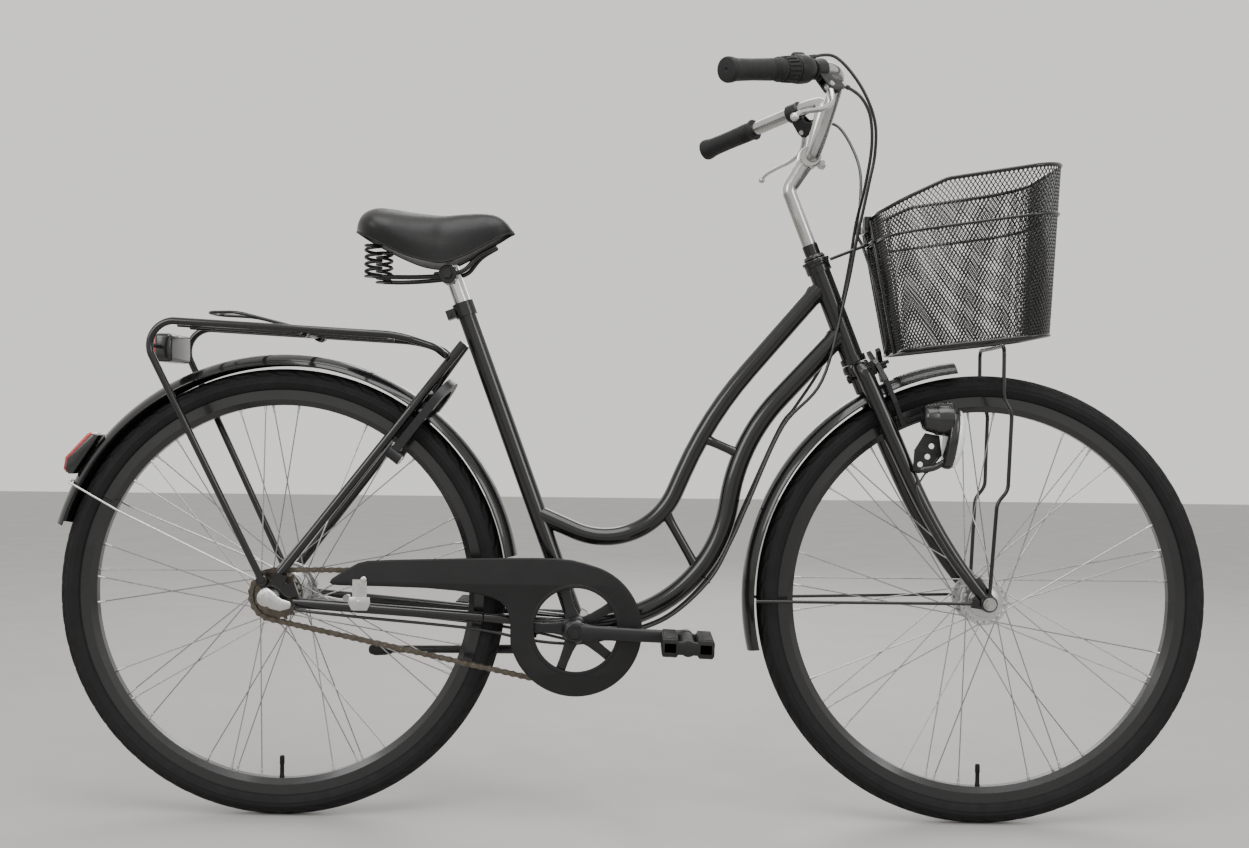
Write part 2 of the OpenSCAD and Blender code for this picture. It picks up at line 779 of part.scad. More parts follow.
module front_axle() {
    color(steel) translate([front_x, 0, tyre_r]) rotate([90, 0, 0]) {
        cylinder(r = 4.8, h = 146, center = true);
        both_faces() translate([0, 0, 41]) cylinder(r = 8.5, h = 9.2);
        both_faces() translate([0, 0, 62]) {
            cylinder(r = 10, h = 2);
            cylinder(r = 8.7, h = 9, $fn = 6);
        }
    }
}

// ---- headlight ----
lamp_y = -68;
module headlight() {
    color(black) {
        translate([447, lamp_y, 630]) rotate([0, 84, 0]) cylinder(r = 23, h = 46);
        translate([490, lamp_y, 625]) scale([0.7, 1, 1]) sphere(r = 26);
        translate([487, lamp_y, 590]) rotate([0, 12, 0]) scale([0.6, 0.72, 1]) sphere(r = 37);
        rod([474, lamp_y, 592], [440, -58, 566], 5);
        rod([440, -58, 566], [436, -50, 552], 6);
    }
}

// ---- basket and its stays ----
basket_wall = 1.2;
module basket_plan(x0, x1, half, corner, inset) {
    a = x0 + inset;
    b = x1 - inset;
    h = half - inset;
    for (x = [a + corner, b - corner], y = [-h + corner, h - corner])
        translate([x, y]) circle(r = corner);
}

module basket_solid(inset) {
    hull() {
        translate([0, 0, 728]) linear_extrude(1) basket_plan(412, 632, basket_half - 26, 44, inset);
        translate([0, 0, 1016]) linear_extrude(1) basket_plan(358, 645, basket_half + 3, 64, inset);
    }
}

// Everything below the floor, which slopes up a little towards the front
module below_floor(lift) {
    rotate([90, 0, 0]) translate([0, 0, -200]) linear_extrude(400)
        polygon([[380, 730.8 + lift], [412, 734 + lift], [660, 758.8 + lift], [720, 700], [380, 700]]);
}

module basket() {
    color(black) difference() {
        basket_solid(0);
        difference() {
            basket_solid(basket_wall);
            below_floor(basket_wall);
        }
        below_floor(0);
        // The rim rises from the back to a kink and then gently to the front
        rotate([90, 0, 0]) translate([0, 0, -200]) linear_extrude(400)
            polygon([[300, 912], [372, 944], [464, 985], [650, 1014], [760, 1100], [300, 1100]]);
    }
}

module basket_stays() {
    color(black) {
        both_sides() {
            wire([[566, -71.5, 744], [566, -71, 664], [579, -70, 642], [575, -67, 524], [559, -66, 504],
                [front_x + 0.6, -60, 362]], 3);
            translate([front_x, -56.2, tyre_r]) rotate([90, 0, 0]) difference() {
                cylinder(r = 13, h = 5.6);
                translate([0, 0, -1]) cylinder(r = 4.9, h = 8);
            }
            rod([566, -73, 743], [566, 0, 743], 3);
        }
        // Flat bars down the back of the basket and the rod to the headset
        for (y = [-30, 30]) rod([369, y, 936], [408, y, 733], 3);
        rod([373, -34, 905], [373, 34, 905], 3);
        rod([371, 0, 905], [311, 0, 881], 2);
        steering() translate([0, 0, head_len + 18]) difference() {
            cylinder(r = 22, h = 3);
            translate([0, 0, -1]) cylinder(r = 16.05, h = 6);
        }
    }
}

module front_cables() {
    color(black) {
        cable(front_brake_points, 2.5);
        cable(lamp_points, 1.5);
    }
}

// ---- wheels ----
flange_y = 28;
front_flange_r = 32;
rear_flange_r = 33;

module tyre() {
    color(rubber) rotate_extrude($fn = 120) difference() {
        union() {
            intersection() {
                translate([tyre_r - tyre_w / 2, 0]) circle(r = tyre_w / 2);
                translate([rim_out_r + 0.2, -30]) square([60, 60]);
            }
            translate([rim_out_r - 12, -9.8]) square([14, 19.6]);
        }
        translate([tyre_r - tyre_w / 2, 0]) circle(r = tyre_w / 2 - 5);
        translate([rim_out_r - 20, -7]) square([24, 14]);
    }
}

module rim() {
    color(black) rotate_extrude($fn = 120) difference() {
        polygon([
            [rim_in_r, -6], [rim_in_r, 6], [rim_in_r + 9, 12], [rim_out_r, 12], [rim_out_r, 10],
            [rim_in_r + 12, 10], [rim_in_r + 12, -10], [rim_out_r, -10], [rim_out_r, -12], [rim_in_r + 9, -12]
        ]);
        translate([rim_in_r + 2, -4.5]) square([8.5, 9]);
    }
}

// Each spoke leaves its flange hole at a tangent and meets the rim
module spokes(flange_r) {
    step = 720 / spoke_count;
    color(steel) for (side = [-1, 1], i = [0:spoke_count / 2 - 1]) {
        a = i * step + (side > 0 ? step / 2 : 0);
        lead = i % 2 == 0 ? 54 : -54;
        out = i % 2 == 0 ? 1.9 : -1.9;
        h = [flange_r * cos(a), flange_r * sin(a), side * (flange_y - 0.5 + out)];
        e = [(rim_in_r + 0.5) * cos(a + lead), (rim_in_r + 0.5) * sin(a + lead), side * 3.2];
        rod(h, e, spoke_d / 2);
    }
}

module hub(flange_r, body_r, end_y, bore) {
    difference() {
        union() {
            cylinder(r = body_r, h = 2 * flange_y, center = true);
            both_faces() translate([0, 0, flange_y - 2]) cylinder(r = flange_r + 5, h = 3);
            cylinder(r = 14, h = 2 * end_y, center = true);
        }
        cylinder(r = bore, h = 200, center = true);
    }
}

module front_tyre() { wheel_at(front_x) tyre(); }
module rear_tyre() { wheel_at(rear_x) tyre(); }
module front_rim() { wheel_at(front_x) rim(); }
module rear_rim() { wheel_at(rear_x) rim(); }
module front_spokes() { wheel_at(front_x) spokes(front_flange_r); }
module rear_spokes() { wheel_at(rear_x) spokes(rear_flange_r); }
module front_hub() { color(silver) wheel_at(front_x) hub(front_flange_r, 26, 40, 4.86); }
module rear_hub() {
    color(silver) wheel_at(rear_x) difference() {
        union() {
            hub(rear_flange_r, 24, 32, 5.06);
            // Driver that carries the sprocket, on the right
            translate([0, 0, 30]) cylinder(r = 19, h = 24);
        }
        cylinder(r = 5.06, h = 200, center = true);
    }
}

// ---- cranks and pedals ----
// Local +X points along the right crank
module crank_frame() {
    translate([bb_x, 0, bb_z]) rotate([0, crank_drop, 0]) children();
}

module crank_arm() {
    rotate([90, 0, 0]) {
        translate([0, 0, 64]) cylinder(r = 17, h = 17);
        translate([crank_len, 0, 68]) cylinder(r = 12.5, h = 13);
        translate([0, -10, 69]) cube([crank_len, 20, 11]);
    }
}

module crank_right() {
    color(black) crank_frame() difference() {
        union() {
            crank_arm();
            rotate([90, 0, 0]) translate([0, 0, 50]) cylinder(r = 20, h = 15);
            for (i = [0:4]) rotate([0, -72 * i - 36, 0]) rotate([90, 0, 0])
                translate([10, -7, 50]) cube([62, 14, 4]);
            // Toothed ring
            translate([0, -chain_line, 0]) rotate([90, 0, 0]) difference() {
                linear_extrude(1.8, center = true) polygon(tooth_outline(ring_teeth, ring_pr));
                cylinder(r = 68, h = 10, center = true);
            }
            for (i = [0:4]) rotate([0, -72 * i - 36, 0]) rotate([90, 0, 0])
                translate([71, 0, chain_line - 1]) cylinder(r = 5, h = 9);
        }
        rotate([90, 0, 0]) translate([0, 0, 40]) cylinder(r = spindle_r, h = 36);
        translate([crank_len, 0, 0]) rotate([90, 0, 0]) cylinder(r = 6.2, h = 100);
    }
}

module crank_left() {
    color(black) crank_frame() {
        difference() {
            mirror([1, 0, 0]) mirror([0, 1, 0]) crank_arm();
            rotate([90, 0, 0]) cylinder(r = spindle_r, h = 152, center = true);
            translate([-crank_len, 0, 0]) rotate([-90, 0, 0]) cylinder(r = 6.2, h = 100);
        }
        // Spindle through the bottom bracket, pressed into both arms
        rotate([90, 0, 0]) cylinder(r = spindle_r, h = 152, center = true);
    }
}

module pedal() {
    difference() {
        union() {
            rotate([90, 0, 0]) translate([0, 0, 66]) cylinder(r = 6.15, h = 18);
            rotate([90, 0, 0]) translate([0, 0, 81.4]) cylinder(r = 9, h = 8);
            rotate([90, 0, 0]) translate([0, 0, 85]) cylinder(r = 12, h = 94);
            for (x = [-38, 14]) translate([x, -179, -14]) cube([24, 90, 28]);
            for (y = [-179, -101]) translate([-38, y, -12]) cube([76, 12, 24]);
        }
        for (x = [-1, 1]) translate([x * 26 - 6, -160, -20]) cube([12, 52, 40]);
    }
}

module pedal_right() { color(rubber) crank_frame() translate([crank_len, 0, 0]) pedal(); }
module pedal_left() { color(rubber) crank_frame() translate([-crank_len, 0, 0]) mirror([0, 1, 0]) pedal(); }

// ---- kickstand ----
module kickstand_leg() {
    color(black) {
        translate([stand_x, 44, stand_z]) rotate([90, 0, 0]) cylinder(r = 11, h = 12, center = true);
        rod([stand_x, 44, stand_z], [-398, 56, 251], 6);
        rod([-384, 55, 251], [-415, 57, 250], 10);
    }
}

// ---- seatpost and saddle ----
module seatpost() {
    color(steel) seat_axis() translate([0, 0, 330]) cylinder(r = post_r, h = 266);
}

module saddle() {
    color(black) hull() {
        for (y = [-62, 62]) translate([-376, y, 918]) scale([1.2, 1, 0.78]) sphere(r = 38, $fn = 24);
        for (y = [-24, 24]) translate([-285, y, 910]) sphere(r = 28, $fn = 20);
        translate([-210, 0, 922]) scale([1, 0.9, 1]) sphere(r = 23, $fn = 20);
        translate([-300, 0, 911]) sphere(r = 32, $fn = 20);
    }
}

// Clamp on the post, two rails to the nose and two coil springs under the back
module saddle_frame() {
    color(black) {
        seat_axis() difference() {
            translate([0, 0, 573]) cylinder(r = 17, h = 22);
            translate([0, 0, 560]) cylinder(r = post_r, h = 50);
        }
        for (side = [-1, 1]) {
            rod([-286, side * 15, 849], [-286, side * 30, 849], 8);
            rod([-284, side * 24, 849], [-214, side * 9, 892], 3.5);
            rod([-288, side * 24, 847], [-398, side * 45, 846], 3.5);
            translate([-398, side * 45, 842.4]) difference() {
                cylinder(r = 14, h = 42);
                translate([0, 0, 4]) cylinder(r = 9, h = 42);
            }
        }
    }
}

head_tube();
top_tube();
down_tube();
seat_tube();
bottom_bracket_shell();
chain_stays();
seat_stays();
bearing_cups();
seat_collar();
rear_fender();
rear_fender_stay();
rear_light();
rack_frame();
rack_reflector();
chain_guard();
chain_guard_clip();
frame_lock();
rear_axle();
gear_clickbox();
rear_brake();
gear_cable();
rear_brake_cable();
chain();
fork();
stem();
handlebar();
grips();
lever_brackets();
shifter_housing();
front_fender();
front_fender_stays();
front_brake_bridge();
front_axle();
headlight();
basket();
basket_stays();
front_cables();
twist_shifter();
brake_lever_left();
brake_lever_right();
brake_arm_left();
brake_arm_right();
front_tyre();
front_rim();
front_spokes();
front_hub();
rear_tyre();
rear_rim();
rear_spokes();
rear_hub();
rear_sprocket();
crank_right();
crank_left();
pedal_right();
pedal_left();
kickstand_leg();
seatpost();
saddle();
saddle_frame();
rack_clip();
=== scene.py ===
import math

import bmesh
import bpy
from mathutils import Matrix, Vector


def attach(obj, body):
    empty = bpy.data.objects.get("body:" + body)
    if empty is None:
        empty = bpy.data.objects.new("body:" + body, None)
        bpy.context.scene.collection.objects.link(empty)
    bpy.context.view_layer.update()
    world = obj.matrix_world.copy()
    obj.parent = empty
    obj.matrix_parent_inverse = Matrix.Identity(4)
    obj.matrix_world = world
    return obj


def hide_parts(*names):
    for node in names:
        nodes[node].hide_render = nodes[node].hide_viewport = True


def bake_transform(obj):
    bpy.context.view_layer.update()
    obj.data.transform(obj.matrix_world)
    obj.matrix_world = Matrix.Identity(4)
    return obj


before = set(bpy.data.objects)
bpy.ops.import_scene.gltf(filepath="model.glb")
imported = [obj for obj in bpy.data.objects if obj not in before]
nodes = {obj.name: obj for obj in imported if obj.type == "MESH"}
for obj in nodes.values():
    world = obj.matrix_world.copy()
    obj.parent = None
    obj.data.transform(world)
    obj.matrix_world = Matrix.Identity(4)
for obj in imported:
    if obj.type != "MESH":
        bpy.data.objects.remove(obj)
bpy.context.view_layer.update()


# ---------------------------------------------------------------------------
# Where it is seen from: square on to the chain side, from 0.6 m up and a
# little over two metres away. Soft lights hang above, in front and behind, so
# that the black paint shows long highlights.
# ---------------------------------------------------------------------------
def turn(degrees, axis):
    """A rotation about X, Y or Z."""
    return Matrix.Rotation(math.radians(degrees), 4, axis)


VIEW_FROM = (0.0078, -2.098, 0.620)
PAN, TILT, ROLL = 0.46, -0.03, -0.60
camera_data = bpy.data.cameras.new("camera")
camera_data.sensor_width = 36
camera_data.lens = 38.45
camera_data.clip_end = 50
camera = bpy.data.objects.new("camera", camera_data)
camera.matrix_world = (
    Matrix.Translation(VIEW_FROM) @ turn(PAN, "Z") @ turn(TILT, "X") @ turn(ROLL, "Y") @ turn(90, "X")
)
bpy.context.scene.collection.objects.link(camera)
bpy.context.scene.camera = camera

for name, place, aim, size, power in (
    ("light_above", (0.1, -0.9, 2.9), (0.0, 0.0, 0.5), 2.2, 62),
    ("light_front_left", (-2.3, -2.3, 1.9), (0.0, 0.0, 0.5), 1.5, 34),
    ("light_front_right", (2.4, -2.0, 1.6), (0.2, 0.0, 0.5), 1.2, 20),
    ("light_behind", (0.4, 2.6, 2.2), (0.0, 0.0, 0.5), 2.0, 40),
):
    data = bpy.data.lights.new(name, "AREA")
    data.shape = "SQUARE"
    data.size = size
    data.energy = power
    lamp = bpy.data.objects.new(name, data)
    lamp.location = place
    lamp.rotation_euler = (Vector(aim) - Vector(place)).to_track_quat("-Z", "Y").to_euler()
    bpy.context.scene.collection.objects.link(lamp)

world = bpy.data.worlds.new("pale_room")
world.use_nodes = True
world.node_tree.nodes["Background"].inputs["Color"].default_value = (0.90, 0.89, 0.855, 1)
world.node_tree.nodes["Background"].inputs["Strength"].default_value = 1.12
bpy.context.scene.world = world


# ---------------------------------------------------------------------------
# Floor: a plain pale floor that the two tyres stand on.
# ---------------------------------------------------------------------------
def surface(name, colour, second, rough, spread=0.08, size=60, bump=0.0, bump_size=900,
            metal=0.0, coat=0.0, coat_rough=0.05, gleam=0.5, stretch=(1, 1, 1), bump_stretch=(1, 1, 1)):
    """A finish whose colour and gloss wander a little and whose skin is never quite flat."""
    m = bpy.data.materials.new(name)
    m.use_nodes = True
    tree = m.node_tree
    shader = tree.nodes["Principled BSDF"]
    shader.inputs["Metallic"].default_value = metal
    shader.inputs["Specular IOR Level"].default_value = gleam
    shader.inputs["Coat Weight"].default_value = coat
    shader.inputs["Coat Roughness"].default_value = coat_rough
    where = tree.nodes.new("ShaderNodeTexCoord")

    def noise(scale, along, detail):
        """A noise texture in the piece's own space."""
        frame_node = tree.nodes.new("ShaderNodeMapping")
        frame_node.inputs["Scale"].default_value = along
        texture = tree.nodes.new("ShaderNodeTexNoise")
        texture.inputs["Scale"].default_value = scale
        texture.inputs["Detail"].default_value = detail
        tree.links.new(where.outputs["Object"], frame_node.inputs["Vector"])
        tree.links.new(frame_node.outputs["Vector"], texture.inputs["Vector"])
        return texture

    mottle = noise(size, stretch, 4)
    blend = tree.nodes.new("ShaderNodeMix")
    blend.data_type = "RGBA"
    blend.inputs["A"].default_value = (*colour, 1)
    blend.inputs["B"].default_value = (*second, 1)
    tree.links.new(mottle.outputs["Fac"], blend.inputs["Factor"])
    tree.links.new(blend.outputs["Result"], shader.inputs["Base Color"])
    gloss = tree.nodes.new("ShaderNodeMapRange")
    gloss.inputs["From Min"].default_value = 0.3
    gloss.inputs["From Max"].default_value = 0.7
    gloss.inputs["To Min"].default_value = max(rough - spread, 0.02)
    gloss.inputs["To Max"].default_value = rough + spread
    tree.links.new(noise(size * 2.3, stretch, 5).outputs["Fac"], gloss.inputs["Value"])
    tree.links.new(gloss.outputs["Result"], shader.inputs["Roughness"])
    if bump:
        skin = tree.nodes.new("ShaderNodeBump")
        skin.inputs["Strength"].default_value = bump
        skin.inputs["Distance"].default_value = 0.0005
        tree.links.new(noise(bump_size, bump_stretch, 3).outputs["Fac"], skin.inputs["Height"])
        tree.links.new(skin.outputs["Normal"], shader.inputs["Normal"])
    return m


floor_mesh = bpy.data.meshes.new("floor")
floor_mesh.from_pydata([(-9, -9, 0), (9, -9, 0), (9, 9, 0), (-9, 9, 0)], [], [(0, 1, 2, 3)])
floor = bpy.data.objects.new("floor", floor_mesh)
floor.data.materials.append(surface("pale_floor", (0.40, 0.39, 0.38), (0.36, 0.35, 0.34), 0.6, size=3))
bpy.context.scene.collection.objects.link(floor)


# ---------------------------------------------------------------------------
# Frame: bent and straight steel tubes, brazed together and sprayed in glossy
# black under clear lacquer. The top tube and the down tube swing low so that
# the rider can step through, with two short braces between them.
# ---------------------------------------------------------------------------
MM = 0.001
REAR = Vector((-0.543, 0, 0.35))
FRONT = Vector((0.5505, 0, 0.35))
BOTTOM = Vector((-0.0802, 0, 0.303))
MIRROR = Matrix.Scale(-1, 4, (0, 1, 0))
TO_SIDE = turn(90, "X")  # stands a flat or turned piece up to face the chain side
TOP_R, DOWN_R = 14, 15.9


def at(x, y, z):
    """A point given in millimetres."""
    return Vector((x, y, z)) * MM


def points_at(*places):
    """Several points given in millimetres."""
    return [at(*p) for p in places]


def move(x, y, z):
    """A shift given in millimetres."""
    return Matrix.Translation(at(x, y, z))


class Shape:
    """Points and faces of one piece while it is being made, in metres."""

    def __init__(self):
        self.points = []
        self.faces = []

    def add(self, points, faces):
        """Appends points and the faces that index them."""
        first = len(self.points)
        self.points += [Vector(p) for p in points]
        self.faces += [[i + first for i in face] for face in faces]
        return self

    def rings(self, rings, joined=False, capped=True):
        """Skins a row of rings that all have the same number of points."""
        n = len(rings[0])
        faces = []
        for i in range(len(rings) - (0 if joined else 1)):
            j = (i + 1) % len(rings)
            faces += [[i * n + k, i * n + (k + 1) % n, j * n + (k + 1) % n, j * n + k] for k in range(n)]
        if capped and not joined:
            faces += [list(range(n))[::-1], [(len(rings) - 1) * n + k for k in range(n)]]
        return self.add([p for ring in rings for p in ring], faces)

    def tube(self, path, radius, sides=16, joined=False, flat=1.0, domed=False, wide=None):
        """A bar along path. radius is one number or one per point; flat thins it across wide."""
        path = [Vector(p) for p in path]
        radii = list(radius) if hasattr(radius, "__len__") else [radius] * len(path)
        if domed:
            head, tail = (path[0] - path[1]).normalized(), (path[-1] - path[-2]).normalized()
            ends = [(math.sin(math.radians(a)), math.cos(math.radians(a))) for a in (30, 55, 80)]
            r0, r1 = radii[0], radii[-1]
            start, stop = path[0], path[-1]
            path = [start + head * r0 * s * 0.7 for s, _ in ends[::-1]] + path
            path += [stop + tail * r1 * s * 0.7 for s, _ in ends]
            radii = [r0 * c for _, c in ends[::-1]] + radii + [r1 * c for _, c in ends]
        n = len(path)
        rings = []
        side = None
        for i in range(n):
            before = path[i - 1] if (joined or i > 0) else path[i]
            after = path[(i + 1) % n] if (joined or i < n - 1) else path[i]
            ahead = (after - before).normalized()
            if wide is not None:
                side = Vector(wide)
            elif side is None:
                side = Vector((0, 1, 0)) if abs(ahead.y) < 0.9 else Vector((1, 0, 0))
            side = (side - ahead * side.dot(ahead)).normalized()
            other = ahead.cross(side)
            rings.append([
                path[i] + radii[i] * (math.cos(a) * side + flat * math.sin(a) * other)
                for a in (2 * math.pi * k / sides for k in range(sides))
            ])
        return self.rings(rings, joined)

    def turned(self, profile, place, steps=48):
        """A lathe-turned piece: profile is (along, radius) in mm, place carries local Z to its axis."""
        rings = [
            [place @ (Vector((r * math.cos(a), r * math.sin(a), z)) * MM)
             for a in (2 * math.pi * k / steps for k in range(steps))]
            for z, r in profile
        ]
        return self.rings(rings)

    def block(self, low, high, edge, place=Matrix.Identity(4), steps=2):
        """A box with rounded edges; corners and edge radius in mm."""
        bm = bmesh.new()
        size = [h - l for l, h in zip(low, high)]
        middle = [(h + l) / 2 for l, h in zip(low, high)]
        bmesh.ops.create_cube(bm, size=1, matrix=Matrix.Translation(middle) @ Matrix.Diagonal((*size, 1)))
        bmesh.ops.bevel(bm, geom=bm.edges[:], offset=edge, segments=steps, profile=0.5, affect="EDGES")
        bm.verts.index_update()
        self.add([place @ (v.co * MM) for v in bm.verts], [[v.index for v in f.verts] for f in bm.faces])
        bm.free()
        return self

    def plate(self, outlines, thick, edge, place=Matrix.Identity(4)):
        """A flat plate in local XY, in mm: the first outline less the holes, its edges rounded."""
        curve = bpy.data.curves.new("outline", "CURVE")
        curve.dimensions = "2D"
        curve.fill_mode = "BOTH"
        curve.extrude = thick / 2 - edge
        curve.bevel_depth = edge
        curve.bevel_resolution = 2
        curve.offset = -edge
        for outline in outlines:
            line = curve.splines.new("POLY")
            line.points.add(len(outline) - 1)
            for p, (x, y) in zip(line.points, outline):
                p.co = (x, y, 0, 1)
            line.use_cyclic_u = True
        thing = bpy.data.objects.new("outline", curve)
        bpy.context.scene.collection.objects.link(thing)
        mesh = bpy.data.meshes.new_from_object(thing.evaluated_get(bpy.context.evaluated_depsgraph_get()))
        self.add([place @ (v.co * MM) for v in mesh.vertices], [list(f.vertices) for f in mesh.polygons])
        bpy.data.objects.remove(thing)
        bpy.data.curves.remove(curve)
        bpy.data.meshes.remove(mesh)
        return self

    def placed(self, matrix):
        """A copy carried by matrix, with its faces turned over if that mirrors it."""
        copy = Shape()
        flip = matrix.determinant() < 0
        return copy.add([matrix @ p for p in self.points], [f[::-1] if flip else f for f in self.faces])

    def both_sides(self):
        """This shape and its mirror image across the centre plane."""
        return Shape().add(self.points, self.faces).add(*vars(self.placed(MIRROR)).values())


def make(name, shape, body, material, replaces=(), crease=38):
    """Turns a finished Shape into a piece that rides on its body."""
    mesh = bpy.data.meshes.new(name)
    mesh.from_pydata(shape.points, [], shape.faces)
    bm = bmesh.new()
    bm.from_mesh(mesh)
    bmesh.ops.remove_doubles(bm, verts=bm.verts[:], dist=1e-7)
    bmesh.ops.recalc_face_normals(bm, faces=bm.faces[:])
    bm.to_mesh(mesh)
    bm.free()
    mesh.shade_smooth()
    mesh.set_sharp_from_angle(angle=math.radians(crease))
    mesh.materials.append(material)
    piece = bpy.data.objects.new(name, mesh)
    bpy.context.scene.collection.objects.link(piece)
    if body:
        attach(piece, body)
    if replaces:
        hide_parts(*replaces)
    return piece


def finish_nodes(material, *names):
    """Gives the finish to CAD nodes that are kept as they are."""
    for name in names:
        for place in nodes[name].material_slots:
            place.material = material


def bends(start, heading, legs):
    """Centreline of a bent tube in the XZ plane: legs are length, bend radius, bend angle."""
    x, z = start
    h = heading
    path = [at(x, 0, z)]
    for length, radius, angle in legs:
        x += length * math.cos(math.radians(h))
        z += length * math.sin(math.radians(h))
        path.append(at(x, 0, z))
        if radius:
            r = math.copysign(radius, angle)
            cx, cz = x - r * math.sin(math.radians(h)), z + r * math.cos(math.radians(h))
            steps = max(2, int(abs(angle) / 2.5))
            for k in range(1, steps + 1):
                a = math.radians(h + angle * k / steps)
                path.append(at(cx + r * math.sin(a), 0, cz - r * math.cos(a)))
            h += angle
            x, z = path[-1].x / MM, path[-1].z / MM
    return path


black_paint = surface("black_lacquer", (0.004, 0.004, 0.0045), (0.007, 0.007, 0.0075), 0.2, 0.04, size=9,
                      bump=0.02, bump_size=60, coat=0.45, coat_rough=0.05, gleam=0.35)
top_path = bends((-142.2, 475.3), -23.4, ((61, 119.5, 90), (33.7, 637.8, -17.2), (168, 0, 0)))
down_path = bends((-62.4, 305.5), 8.1, ((32, 220, 73.3), (8, 300, -34.2), (139, 0, 0)))
top = Shape().tube(top_path, TOP_R * MM, 32)
make("top_tube_bent", top, "frame", black_paint, ["top_tube"])
down = Shape().tube(down_path, DOWN_R * MM, 32)
for foot, head in (((58, 478), (107, 393)), ((121, 596), (166, 576.6))):
    a, b = at(foot[0], 0, foot[1]), at(head[0], 0, head[1])
    run = [a.lerp(b, t / 12) for t in range(13)]
    down.tube(run, [(7.4 + 2.6 * abs(2 * t / 12 - 1) ** 5) * MM for t in range(13)], 24)
make("down_tube_bent", down, "frame", black_paint, ["down_tube"])
finish_nodes(
    black_paint, "head_tube", "seat_tube", "bottom_bracket_shell", "chain_stays", "seat_stays",
    "bearing_cups", "seat_collar",
)

# Brazed fillets where the tubes meet: thin collars of filler under the paint
STEER = move(347.0, 0, 727.7) @ turn(-21.35, "Y")
fillets = Shape()
for path, r in ((top_path, TOP_R), (down_path, DOWN_R)):
    tail, lead = path[-2], path[-1]
    ahead = (lead - tail).normalized()
    # The tube leaves the head tube's skin about a head tube radius short of its end
    for k, grow in enumerate((2.2, 1.1, 0.4)):
        start = lead - ahead * (10 + 3.2 * k) * MM
        fillets.tube([start - ahead * 3 * MM, start + ahead * 3 * MM], (r + grow) * MM, 32)
make("braze_fillets", fillets, "frame", black_paint)

# Headset: a turned locknut and thin rings between the two cups
headset = Shape()
for low, profile in (
    (142, ((10.2, 17), (10.2, 19.2), (12, 20.2), (16, 20.2), (17.8, 19.2), (17.8, 17))),
    (142, ((18.2, 15), (18.2, 17.2), (20, 18), (22, 16.8), (24, 18), (26, 16.8), (28.5, 16),
           (29.5, 13), (29.5, 11.4))),
    (0, ((-24, 16), (-24, 20.5), (-21, 21.2), (-14, 21), (-11, 19.5), (-10.6, 16))),
):
    headset.turned([(low + z, r) for z, r in profile], STEER)
make("headset_rings", headset, "steering", black_paint)


# ---------------------------------------------------------------------------
# Wheels: a black rubber tyre with slanted lugs on its shoulders sits on a
# black aluminium rim. Stainless spokes cross three times and screw into
# nipples in the rim, and the hubs are cast and turned aluminium.
# ---------------------------------------------------------------------------
TYRE_R, TYRE_HALF = 350, 20
BEAD_R, BEAD_HALF = 316.5, 11.4
RIM_IN = 293
FLANGE_Y, LACING_Y = 27.6, 27.5
SPOKE_STEP, SPOKE_LEAD = 20, 54  # degrees between spokes of a side, and from hub end to rim end


def axle(hub):
    """Local Z runs along the axle to the chain side."""
    return Matrix.Translation(hub) @ TO_SIDE


def tyre(hub):
    """One closed skin swept round the hub, with the tread cut into it."""
    core = TYRE_R - TYRE_HALF
    across = [-127, -118, -108, -100, -97, -90, -82, -79, -70, -64, -60]
    across += list(range(-56, -15, 5)) + [-13, -11, -7, -3, 0]
    across += [-a for a in across[-2::-1]]
    around = 512
    lugs = 64
    rings = []
    for i in range(around):
        t = i / around
        ring = [(BEAD_R, -BEAD_HALF)]
        for a in across:
            side = abs(a)
            depth = 0.0
            if 15 < side < 62:
                slant = (t * lugs + side / 55 + (0.5 if a > 0 else 0)) % 1
                depth = 1.7 if slant < 0.3 else 0.0
                if side > 48 and slant > 0.62:
                    depth = 1.1
            elif side < 13:
                depth = 0.9 if ((t * lugs * 2 + a / 20) % 1) < 0.2 else 0.0
            elif side <= 15:
                depth = 1.2
            elif side in (97, 79):
                depth = -0.35
            elif side == 64:
                depth = 0.5
            r = TYRE_HALF - 0.4 - depth
            ring.append((core + 0.4 + r * math.cos(math.radians(a)), r * math.sin(math.radians(a))))
        ring += [(BEAD_R, BEAD_HALF), (313, 8), (313, -8)]
        c, s = math.cos(2 * math.pi * t), math.sin(2 * math.pi * t)
        rings.append([hub + at(r * c, y, r * s) for r, y in ring])
    return Shape().rings(rings, joined=True)


def spoke_ends(flange_r):
    """Hub end and rim end of each spoke, as in the CAD, in mm round the axle."""
    for side in (-1, 1):
        for i in range(360 // SPOKE_STEP):
            a = math.radians(i * SPOKE_STEP + (SPOKE_STEP / 2 if side > 0 else 0))
            way = 1 if i % 2 == 0 else -1
            b = a + math.radians(SPOKE_LEAD * way)
            yield (
                Vector((flange_r * math.cos(a), flange_r * math.sin(a), side * (LACING_Y + 1.9 * way))),
                Vector(((RIM_IN + 0.5) * math.cos(b), (RIM_IN + 0.5) * math.sin(b), side * 3.2)),
            )


